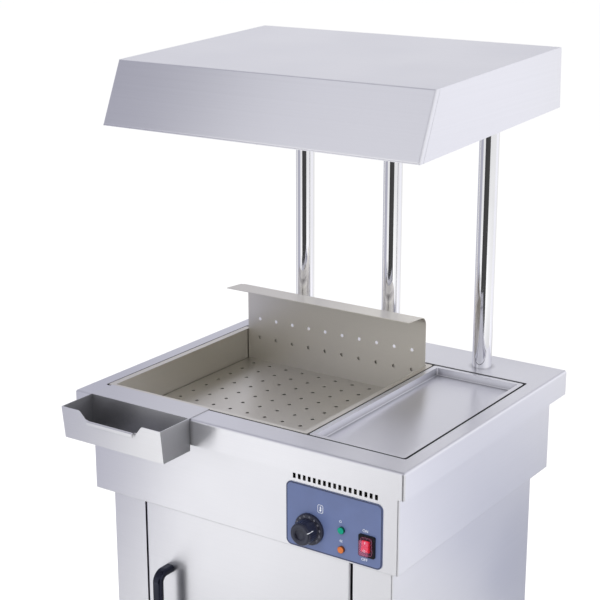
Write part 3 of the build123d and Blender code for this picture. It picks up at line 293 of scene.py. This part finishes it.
def finished(name, shape, body, look, sharp=40.0):
    """Closes a shape in the making and makes it a piece of the object that moves with a body."""
    bmesh.ops.remove_doubles(shape, verts=shape.verts, dist=WELD)
    bmesh.ops.recalc_face_normals(shape, faces=shape.faces)
    mesh = bpy.data.meshes.new(name)
    shape.to_mesh(mesh)
    shape.free()
    mesh.materials.append(look)
    for face in mesh.polygons:
        face.use_smooth = True
    mesh.set_sharp_from_angle(angle=math.radians(sharp))
    piece = bpy.data.objects.new(name, mesh)
    scene.collection.objects.link(piece)
    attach(piece, body)
    return piece


def bands(shape, rings):
    """Joins rings of points by bands of faces; a ring may be a single point."""
    for a, b in zip(rings, rings[1:]):
        count = max(len(a), len(b))
        for i in range(count):
            j = (i + 1) % count
            corners = (a[i % len(a)], b[i % len(b)], b[j % len(b)], a[j % len(a)])
            shape.faces.new(tuple(dict.fromkeys(corners)))


def closed(shape, rings):
    """Joins rings of points by bands of faces and closes both ends."""
    bands(shape, rings)
    for end in (rings[0], rings[-1]):
        if len(end) > 1:
            shape.faces.new(end)


def plate(shape, loop, place, thick):
    """Adds a thin closed plate with an outline of flat points; place puts flat points in space."""
    closed(shape, [[shape.verts.new(place @ Vector((u, v, w))) for u, v in loop] for w in (0.0, thick)])


def frame_plate(shape, outer, inner, place, thick):
    """Adds a thin closed ring between two outlines with as many points each."""
    rings = [[shape.verts.new(place @ Vector((u, v, w))) for u, v in loop]
             for loop, w in ((outer, 0.0), (outer, thick), (inner, thick), (inner, 0.0))]
    bands(shape, rings + rings[:1])


def arc(centre, radius, start, end, steps):
    """Points on an arc, angles in degrees from the right, turning left."""
    turns = [math.radians(start + (end - start) * i / steps) for i in range(steps + 1)]
    return [(centre[0] + radius * math.cos(t), centre[1] + radius * math.sin(t)) for t in turns]


def circle(radius, steps=32):
    """Points of a circle round the flat origin."""
    return arc((0, 0), radius, 0.0, 360.0, steps)[:-1]


def round_box(width, height, radius, steps=6):
    """Points of an outline with rounded corners round the flat origin."""
    x, z = width / 2 - radius, height / 2 - radius
    loop = []
    for u, v, start in ((x, z, 0), (-x, z, 90), (-x, -z, 180), (x, -z, 270)):
        loop += arc((u, v), radius, start, start + 90, steps)
    return loop


def stroke(points, width):
    """Outline of a line of some width through flat points."""
    left, right = [], []
    for i, (u, v) in enumerate(points):
        a = Vector(points[max(i - 1, 0)])
        b = Vector(points[min(i + 1, len(points) - 1)])
        across = (b - a).normalized().orthogonal() * (width / 2)
        left.append((u + across.x, v + across.y))
        right.append((u - across.x, v - across.y))
    return left + right[::-1]


def letters(shape, text, height, place, thick):
    """Adds raised letters or figures, centred on the flat origin of place."""
    curve = bpy.data.curves.new("letters", "FONT")
    curve.body = text
    curve.size = height / LETTER_HEIGHT
    curve.align_x = "CENTER"
    curve.align_y = "CENTER"
    curve.extrude = thick / 2
    curve.resolution_u = 4
    holder = bpy.data.objects.new("letters", curve)
    mesh = bpy.data.meshes.new_from_object(holder)
    mesh.transform(place @ Matrix.Translation((0.0, 0.0, thick / 2)))
    shape.from_mesh(mesh)
    bpy.data.objects.remove(holder)
    bpy.data.curves.remove(curve)
    bpy.data.meshes.remove(mesh)


def turned(profile, centre, steps, ripple):
    """A turned solid along -Y from points of radius and reach in mm; ripple changes the radius round it."""
    shape = bmesh.new()
    rings = []
    for radius, reach in profile:
        ring = []
        for i in range(steps if radius else 1):
            turn = 2 * math.pi * i / steps
            r = radius + ripple(radius, reach, turn)
            point = Vector((r * math.cos(turn), -reach, r * math.sin(turn)))
            ring.append(shape.verts.new(centre + point * MM))
        rings.append(ring)
    closed(shape, rings)
    return shape


# Flat drawing is in mm, with its Z out of the front; ink stands out from where it starts, a little sunk
INK = 0.08
SUNK = 0.03
front_face = Matrix(((1, 0, 0, 0), (0, 0, -1, 0), (0, 1, 0, 0), (0, 0, 0, 1))) @ Matrix.Scale(MM, 4)


def on_fascia(x, z):
    """Places flat drawing on the fascia's front, at a point in mm from the frame's axis and the floor."""
    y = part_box("fascia_plate")[0][1]
    return Matrix.Translation((x * MM, y + SUNK * MM, z * MM)) @ front_face


# The fascia's dark outline, with how much narrower than the plate its two loops are and their corner radii
BORDER_LOOPS = ((0.6, 8.7), (4.2, 6.9))
low, high = [[c / MM for c in corner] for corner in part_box("fascia_plate")]
border = bmesh.new()
loops = []
for inset, radius in BORDER_LOOPS:
    loops.append(round_box(high[0] - low[0] - inset, high[2] - low[2] - inset, radius, 10))
frame_plate(border, *loops, on_fascia((low[0] + high[0]) / 2, (low[2] + high[2]) / 2), INK)
finished("fascia_border", border, "base", ink_navy)


def thermometer(shape, place):
    """Adds a thermometer with three ticks in a rounded frame."""
    width, height, corner, line = 9.6, 13.0, 3.0, 0.7
    inner = round_box(width - 2 * line, height - 2 * line, corner - line)
    frame_plate(shape, round_box(width, height, corner), inner, place, INK)
    tube, tube_top = 0.8, 3.2
    bulb, bulb_middle, neck = 1.5, -2.4, 32
    stem = arc((0.0, tube_top), tube, 0, 180, 8)
    stem += arc((0.0, bulb_middle), bulb, 90 + neck, 450 - neck, 20)
    plate(shape, stem, place, INK)
    tick_start, tick_end, tick_width = 1.5, 2.7, 0.45
    for level in (2.0, 0.4, -1.2):
        plate(shape, stroke([(tick_start, level), (tick_end, level)], tick_width), place, INK)


def power_mark(shape, place):
    """Adds a ring that is open at the top, with a stroke in its gap."""
    outer, inner, half_gap = 2.0, 1.5, 35
    start, end = 90 + half_gap, 450 - half_gap
    plate(shape, arc((0, 0), outer, start, end, 22) + arc((0, 0), inner, end, start, 22), place, INK)
    bar_start, bar_end = 0.5, 2.5
    plate(shape, stroke([(0.0, bar_start), (0.0, bar_end)], outer - inner), place, INK)


def heat_mark(shape, place):
    """Adds three upright wavy lines."""
    swing, bend, width = 0.45, 2.1, 0.55
    heights = [0.4 * i for i in range(11)]
    for offset in (-1.7, 0.0, 1.7):
        wave = [(offset + swing * math.sin(v * bend), v - heights[-1] / 2) for v in heights]
        plate(shape, stroke(wave, width), place, INK)


# Printed signs on the fascia and their places: a thermometer, marks over the lamps, the switch's words
THERMOMETER = (151.4, 754.3)
POWER_MARK = (185.8, 743.7)
HEAT_MARK = (186.9, 713.6)
WORDS = {"ON": (227.8, 739.6), "OFF": (226.7, 695.0)}
WORD_HEIGHT = 4.2
signs = bmesh.new()
thermometer(signs, on_fascia(*THERMOMETER))
power_mark(signs, on_fascia(*POWER_MARK))
heat_mark(signs, on_fascia(*HEAT_MARK))
for word, spot in WORDS.items():
    letters(signs, word, WORD_HEIGHT, on_fascia(*spot), INK)
finished("fascia_signs", signs, "base", ink_white)

# The dial: bored for its shaft, with a bevelled skirt, a tapered grip and a plain round recess in its face
low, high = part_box("thermostat_knob")
axis = Vector(((low[0] + high[0]) / 2, high[1], (low[2] + high[2]) / 2))
SKIRT = 6.0
FACE = 27.0
bore = [(0.0, 21.0), (3.05, 21.0), (3.05, 0.0)]
skirt = [(23.3, 0.0), (24.0, 0.7), (24.0, 4.2), (23.6, 4.9), (22.5, 5.8), (22.0, SKIRT), (19.0, SKIRT)]
grip = [(18.3, 6.3), (17.9, 7.0), (17.5, 16.0)]
rim = [(17.0, 24.0), (16.6, 25.4), (16.0, 26.3), (15.1, 26.9), (14.2, FACE)]
recess = [(8.6, FACE), (8.1, 26.7), (7.9, 26.0), (7.8, 25.2), (7.3, 24.9), (0.0, 24.9)]
RIBS = 28
RIB_HEIGHT = 0.16
RIB_START, RIB_END = 6.5, 26.0
GRIP_INNER = 14.0


def ribs(radius, reach, turn):
    """Shallow ribs round the grip that fade out at both ends."""
    if radius < GRIP_INNER or not RIB_START < reach < RIB_END:
        return 0.0
    return RIB_HEIGHT * math.cos(RIBS * turn)


dial_shape = turned(bore + skirt + grip + rim + recess, axis, 8 * RIBS, ribs)
dial = finished("dial", dial_shape, "knob", dial_black, sharp=35.0)
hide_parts("thermostat_knob")


def on_dial(clockwise, radius, reach):
    """Places flat drawing on the dial, turned clockwise from the top."""
    spot = Matrix.Translation((axis.x, axis.y + (SUNK - reach) * MM, axis.z)) @ front_face
    turn = Matrix.Rotation(-math.radians(clockwise), 4, "Z")
    return spot @ turn @ Matrix.Translation((0.0, radius, 0.0))


# The dial's figures with a tick each, in mm and degrees clockwise from the top
FIGURES = range(30, 111, 10)
FIRST_FIGURE, FIGURE_STEP = -66.0, 24.5
FIGURE_RADIUS, FIGURE_HEIGHT = 20.2, 2.2
TICK_RADIUS, TICK_LENGTH, TICK_WIDTH = 21.9, 1.0, 0.4
figures = bmesh.new()
tick = stroke([(0.0, -TICK_LENGTH / 2), (0.0, TICK_LENGTH / 2)], TICK_WIDTH)
for i, figure in enumerate(FIGURES):
    clockwise = FIRST_FIGURE + FIGURE_STEP * i
    letters(figures, str(figure), FIGURE_HEIGHT, on_dial(clockwise, FIGURE_RADIUS, SKIRT), INK)
    plate(figures, tick, on_dial(clockwise, TICK_RADIUS, SKIRT), INK)
finished("dial_figures", figures, "knob", ink_grey)


def dial_line(shape, path, clockwise, width, sunk, proud):
    """Adds a thin closed line over the dial through points of radius and reach in mm."""
    turn = math.radians(clockwise)
    outward = Vector((math.sin(turn), 0.0, math.cos(turn)))
    across = Vector((math.cos(turn), 0.0, -math.sin(turn)))
    ahead = Vector((0.0, -1.0, 0.0))
    rings = []
    for i, (radius, reach) in enumerate(path):
        a, b = path[max(i - 1, 0)], path[min(i + 1, len(path) - 1)]
        normal = (outward * (a[1] - b[1]) + ahead * (b[0] - a[0])).normalized()
        spot = axis + (outward * radius + ahead * reach) * MM
        rings.append([shape.verts.new(spot + (normal * lift + across * side * width / 2) * MM)
                      for side, lift in ((-1, -sunk), (1, -sunk), (1, proud), (-1, proud))])
    closed(shape, rings)


# The dial's pointer, from the face over the rim and half way down the grip
POINTER = 68.0
POINTER_WIDTH = 0.9
pointer = bmesh.new()
dial_line(pointer, rim[::-1] + [(17.25, 20.0), grip[-1]], POINTER, POINTER_WIDTH, sunk=0.25, proud=0.2)
finished("dial_pointer", pointer, "knob", ink_white)

# Marks on the two faces of the rocker's V, drawn on the key as it lies level and tilted with it
KEY_TILT = 10.0
KEY_PROUD = 7.3
MARK_REACH = 5.9
BAR_LENGTH, BAR_WIDTH = 3.8, 0.9
RING_OUTER, RING_INNER = 2.1, 1.35
hinge = next(j for j in frame["joints"] if j["name"] == "rocker_tilt")
pivot = Matrix.Translation(hinge["pos_m"]) @ Matrix.Rotation(math.radians(-KEY_TILT), 4, "X")


def on_key(side):
    """Places flat drawing half way along the upper or lower face of the key."""
    slope = math.radians(KEY_TILT)
    spot = Vector((0.0, SUNK - KEY_PROUD - MARK_REACH * math.tan(slope), side * MARK_REACH)) * MM
    return pivot @ Matrix.Translation(spot) @ Matrix.Rotation(-side * slope, 4, "X") @ front_face


marks = bmesh.new()
plate(marks, stroke([(0.0, -BAR_LENGTH / 2), (0.0, BAR_LENGTH / 2)], BAR_WIDTH), on_key(1), INK)
frame_plate(marks, circle(RING_OUTER), circle(RING_INNER), on_key(-1), INK)
finished("rocker_marks", marks, "switch_key", ink_white)


def solids_of(node):
    """The separate solids of a node as lists of faces, each face as its normal, area and corners."""
    shape = bmesh.new()
    shape.from_mesh(nodes[node].data)
    shape.transform(nodes[node].matrix_world)
    bmesh.ops.remove_doubles(shape, verts=shape.verts, dist=WELD)
    shape.faces.ensure_lookup_table()
    seen = set()
    solids = []
    for first in shape.faces:
        if first.index in seen:
            continue
        seen.add(first.index)
        queue = [first]
        for face in queue:
            for edge in face.edges:
                for other in edge.link_faces:
                    if other.index not in seen:
                        seen.add(other.index)
                        queue.append(other)
        solids.append([(f.normal.copy(), f.calc_area(), [v.co.copy() for v in f.verts]) for f in queue])
    shape.free()
    return solids


def box_of(points):
    """The low and the high corner of the box round some points."""
    low = Vector([min(point[i] for point in points) for i in range(3)])
    high = Vector([max(point[i] for point in points) for i in range(3)])
    return low, high


# Domed screws with a cross recess, each on the head of a plain screw in the solids
SCREW_RADIUS = 4.0
SCREW_HEAD = 2.5
SCREW_SHANK = 7.0
SHANK_RADIUS = 2.0
DOME_RADII = (0.3, 0.5, 0.7, 1.0, 1.3, 1.6, 1.85, 2.1, 2.5, 3.0, 3.5, 3.85)
DOME_RISE = 1.1
DOME_EDGE = 1.4
CROSS_ARM = 2.0
CROSS_HALF = 0.5
CROSS_DEPTH = 1.1
SCREW_STEPS = 48
SAME_WAY = 0.999


def head_of(solid):
    """Middle and outward direction of the largest flat face of a screw."""
    areas = {}
    for normal, area, corners in solid:
        key = tuple(round(c, 2) for c in normal)
        areas[key] = areas.get(key, 0.0) + area
    outward = Vector(max(areas, key=areas.get)).normalized()
    faces = [corners for normal, area, corners in solid if normal.dot(outward) > SAME_WAY]
    points = [corner for corners in faces for corner in corners]
    farthest = max(point.dot(outward) for point in points)
    low, high = box_of([point for point in points if farthest - point.dot(outward) < 10 * WELD])
    return (low + high) / 2, outward


def screw(shape, centre, outward):
    """Adds a screw whose dome tops out at a point."""
    turn_out = outward.to_track_quat("Z", "Y").to_matrix().to_4x4()
    place = Matrix.Translation(centre) @ turn_out @ Matrix.Scale(MM, 4)
    levels = [(r, -DOME_RISE * (r / SCREW_RADIUS) ** 2) for r in DOME_RADII]
    levels += [(SCREW_RADIUS, -DOME_EDGE), (SCREW_RADIUS, -SCREW_HEAD)]
    levels += [(SHANK_RADIUS, -SCREW_HEAD), (SHANK_RADIUS, -SCREW_SHANK)]
    rings = [[shape.verts.new(place @ Vector((0.0, 0.0, -CROSS_DEPTH)))]]
    for r, level in levels:
        ring = []
        for i in range(SCREW_STEPS):
            turn = 2 * math.pi * i / SCREW_STEPS
            u, v = r * math.cos(turn), r * math.sin(turn)
            narrow, wide = sorted((abs(u), abs(v)))
            sunk = CROSS_DEPTH if narrow < CROSS_HALF and wide < CROSS_ARM else 0.0
            ring.append(shape.verts.new(place @ Vector((u, v, level - sunk))))
        rings.append(ring)
    closed(shape, rings)


screw_shapes = bmesh.new()
for solid in solids_of("panel_screws"):
    screw(screw_shapes, *head_of(solid))
screws = finished("cross_screws", screw_shapes, "base", looks["fixing_steel"], sharp=30.0)
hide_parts("panel_screws")

# Coiled wire in the quartz tubes, over a share of their length
COIL_RADIUS = 1.7
COIL_PITCH = 2.6
COIL_SHARE = 0.76
COIL_STEPS = 14
WIRE_RADIUS = 0.35
WIRE_SIDES = 6


def coil(shape, start, end):
    """Adds a coiled wire between two points along X."""
    turns = (end.x - start.x) / (COIL_PITCH * MM)
    count = int(turns * COIL_STEPS)
    rings = []
    for i in range(count + 1):
        share = i / count
        turn = 2 * math.pi * turns * share
        out = Vector((0.0, math.cos(turn), math.sin(turn)))
        middle = start.lerp(end, share) + out * COIL_RADIUS * MM
        ring = []
        for k in range(WIRE_SIDES):
            angle = 2 * math.pi * k / WIRE_SIDES
            aside = Vector((math.sin(angle), 0.0, 0.0))
            ring.append(shape.verts.new(middle + (out * math.cos(angle) + aside) * WIRE_RADIUS * MM))
        rings.append(ring)
    closed(shape, rings)


coils = bmesh.new()
for solid in solids_of("heat_tubes"):
    low, high = box_of([corner for normal, area, corners in solid for corner in corners])
    middle = (low + high) / 2
    reach = Vector(((high.x - low.x) * COIL_SHARE / 2, 0.0, 0.0))
    coil(coils, middle - reach, middle + reach)
finished("tube_coils", coils, "base", looks["element_sheath"])

# The camera, in radians and metres, with its lens and sensor in mm
YAW, PITCH, ROLL = 0.60089, 0.28764, -0.00153
LENS, SENSOR = 89.894, 36.0
EYE = (1.24502, -1.85242, 1.65175)
forward = Vector((-math.sin(YAW) * math.cos(PITCH), math.cos(YAW) * math.cos(PITCH), -math.sin(PITCH)))
level_right = Vector((math.cos(YAW), math.sin(YAW), 0.0))
level_up = level_right.cross(forward)
right = math.cos(ROLL) * level_right + math.sin(ROLL) * level_up
up = math.cos(ROLL) * level_up - math.sin(ROLL) * level_right
view = bpy.data.cameras.new("camera")
view.sensor_width = SENSOR
view.lens = LENS
view.clip_end = 100.0
camera = bpy.data.objects.new("camera", view)
camera.matrix_world = Matrix((right, up, -forward)).transposed().to_4x4()
camera.location = EYE
scene.collection.objects.link(camera)
scene.camera = camera
scene.view_settings.view_transform = "Standard"

# The world's light, and its tones for mirrors by how far up they look
EVEN_LIGHT = 0.6
SKY_LOW, SKY_TOP = (1.0, 1.0, 1.0, 1.0), (0.3, 0.3, 0.33, 1.0)
SKY_BETWEEN = ((0.28, (1.0, 1.0, 1.0, 1.0)), (0.46, (0.8, 0.8, 0.87, 1.0)))

# The floor in metres: its tone, what the camera sees of it, and what mirrors see near, at a spot and far off,
# which is a painted reflection
FLOOR_SIDE = 30.0
FLOOR_TONE = (0.64, 0.64, 0.64, 1.0)
GLOW_SEEN = 0.62
GLOW_MIRRORED = 0.02
GLOW_SPOT = 0.88
BRIGHT_SPOT = (-1.08, -1.55, 0.0)
SPOT_INNER, SPOT_OUTER = 0.12, 0.78
GLOW_FAR = 0.42
FAR_START, FAR_END = 2.4, 3.4


def seen_rays(shader):
    """The light path, and a factor that is 1 for rays from the camera, from mirrors and from glass."""
    path = shader.node("LightPath").outputs
    seen = path["Is Camera Ray"]
    for name in ("Is Glossy Ray", "Is Transmission Ray"):
        seen = shader.math("MAXIMUM", seen, path[name])
    return path, seen


def studio_world():
    """White at eye level and greyer overhead for mirrors, with a plain even light for everything else."""
    world = bpy.data.worlds.new("studio")
    world.use_nodes = True
    scene.world = world
    sky = Shader(world.node_tree)
    path, seen = seen_rays(sky)
    ramp = sky.node("ValToRGB", {0: sky.parts(sky.coords["Generated"])[2]})
    stops = ramp.color_ramp.elements
    stops[0].color, stops[1].color = SKY_LOW, SKY_TOP
    for place, colour in SKY_BETWEEN:
        stops.new(place).color = colour
    background = sky.tree.nodes["Background"].inputs
    sky.give(background["Color"], sky.mix(path["Is Glossy Ray"], (1.0, 1.0, 1.0, 1.0), ramp.outputs[0]))
    sky.give(background["Strength"], sky.span(seen, 0.0, 1.0, EVEN_LIGHT, 1.0))


def studio_floor():
    """A pale floor that looks white and still takes the object's shadow; mirrors see a painted glow on it, bright
    at a spot and far off.
    """
    mesh = bpy.data.meshes.new("floor")
    corners = [(x * FLOOR_SIDE, y * FLOOR_SIDE, 0.0) for x, y in ((-1, -1), (1, -1), (1, 1), (-1, 1))]
    mesh.from_pydata(corners, [], [(0, 1, 2, 3)])
    floor = bpy.data.objects.new("floor", mesh)
    scene.collection.objects.link(floor)
    look = Look("floor")
    place = look.coords["Object"]
    path, seen = seen_rays(look)
    # Painted reflection: mirrors see a glowing patch round BRIGHT_SPOT and a glow far off, with almost none
    # elsewhere
    aside = look.node("VectorMath", {0: place, 1: BRIGHT_SPOT}, operation="DISTANCE").outputs["Value"]
    spot = look.span(aside, SPOT_INNER, SPOT_OUTER, GLOW_SPOT, GLOW_MIRRORED, interpolation_type="SMOOTHSTEP")
    away = look.node("VectorMath", {0: place}, operation="LENGTH").outputs["Value"]
    mirrored = look.math("ADD", spot, look.span(away, FAR_START, FAR_END, 0.0, GLOW_FAR))
    level = look.span(path["Is Camera Ray"], 0.0, 1.0, mirrored, GLOW_SEEN)
    glow = look.node("Emission", {"Strength": look.math("MULTIPLY", seen, level)})
    pale = look.node("BsdfDiffuse", {"Color": FLOOR_TONE})
    look.show(look.node("AddShader", {0: pale.outputs[0], 1: glow.outputs[0]}))
    mesh.materials.append(look.material)


def softbox(name, place, target, size, power):
    """A square area lamp aimed at a point, with no image in mirrors."""
    lamp = bpy.data.lights.new(name, "AREA")
    lamp.shape = "SQUARE"
    lamp.size = size
    lamp.energy = power
    box = bpy.data.objects.new(name, lamp)
    box.location = place
    box.rotation_euler = (Vector(target) - Vector(place)).to_track_quat("-Z", "Y").to_euler()
    scene.collection.objects.link(box)
    box.visible_glossy = False


def card(name, start, end, height, near, far, crown=None, soft=0.15, blend=1.0, rise=(0.0, 1.0)):
    """An upright board between two points of the floor that only mirrors see, a painted reflection:
    it glows with its tone, lights nothing and casts no shadow.

    Its tone runs from near at the start to far at the share blend of its length and, where crown is
    given, to crown between the two shares rise of its height. Its ends and its top fade out over the
    share soft of their lengths.
    """
    start, end = Vector(start), Vector(end)
    length = (end - start).length
    mesh = bpy.data.meshes.new(name)
    mesh.from_pydata([(0, 0, 0), (length, 0, 0), (length, 0, height), (0, 0, height)], [], [(0, 1, 2, 3)])
    board = bpy.data.objects.new(name, mesh)
    board.location = (*start, 0.0)
    board.rotation_euler = (0.0, 0.0, math.atan2(end.y - start.y, end.x - start.x))
    scene.collection.objects.link(board)
    look = Look(name)
    x, y, z = look.parts(look.coords["Object"])
    u = look.span(x, 0.0, length, 0.0, 1.0)
    v = look.span(z, 0.0, height, 0.0, 1.0)
    tone = look.mix(look.span(u, 0.0, blend, 0.0, 1.0), (*near, 1.0), (*far, 1.0))
    if crown:
        tone = look.mix(look.span(v, *rise, 0.0, 1.0), tone, (*crown, 1.0))
    cover = look.math("MULTIPLY", look.span(u, 0.0, soft, 0.0, 1.0), look.span(u, 1.0 - soft, 1.0, 1.0, 0.0))
    cover = look.math("MULTIPLY", cover, look.span(v, 1.0 - soft, 1.0, 1.0, 0.0))
    glow = look.node("Emission", {"Color": tone})
    gone = look.node("BsdfTransparent")
    look.show(look.node("MixShader", {0: cover, 1: gone.outputs[0], 2: glow.outputs[0]}))
    mesh.materials.append(look.material)
    board.visible_camera = False
    board.visible_diffuse = False
    board.visible_transmission = False
    board.visible_shadow = False


studio_world()
studio_floor()
softbox("key", (0.5, -0.9, 4.2), (0.0, 0.0, 0.8), size=2.2, power=55.0)
softbox("fill", (1.8, -3.4, 2.4), (0.0, 0.0, 0.7), size=1.8, power=80.0)

# Boards on the right, on the left and in front, which the steel mirrors: painted reflections that glow or stay
# dark
DARK = (0.06, 0.06, 0.06)
LEFT_GREY = (0.47, 0.47, 0.55)
card("right_card", (0.55, 0.95), (1.75, 0.95), 1.5, (0.1, 0.13, 0.27), (1.35, 1.35, 1.4), (0.95, 0.95, 1.0),
     soft=0.04, blend=0.56, rise=(0.16, 0.42))
card("left_front_card", (-1.0, 0.1), (-1.0, -1.28), 3.0, LEFT_GREY, LEFT_GREY, (0.4, 0.4, 0.46),
     soft=0.14, rise=(0.2, 0.6))
card("left_rear_card", (-1.0, 0.3), (-1.0, 1.9), 1.65, (0.3, 0.3, 0.4), (0.62, 0.62, 0.69),
     soft=0.16, blend=0.35)
card("front_card", (-0.4, -2.0), (2.3, -2.0), 1.4, (0.05, 0.05, 0.05), (0.07, 0.07, 0.07), soft=0.02)
card("low_card", (0.1, -1.35), (1.6, -1.35), 0.75, DARK, DARK, soft=0.12)
card("near_card", (0.15, -0.9), (1.0, -0.9), 0.2, DARK, DARK, soft=0.12)
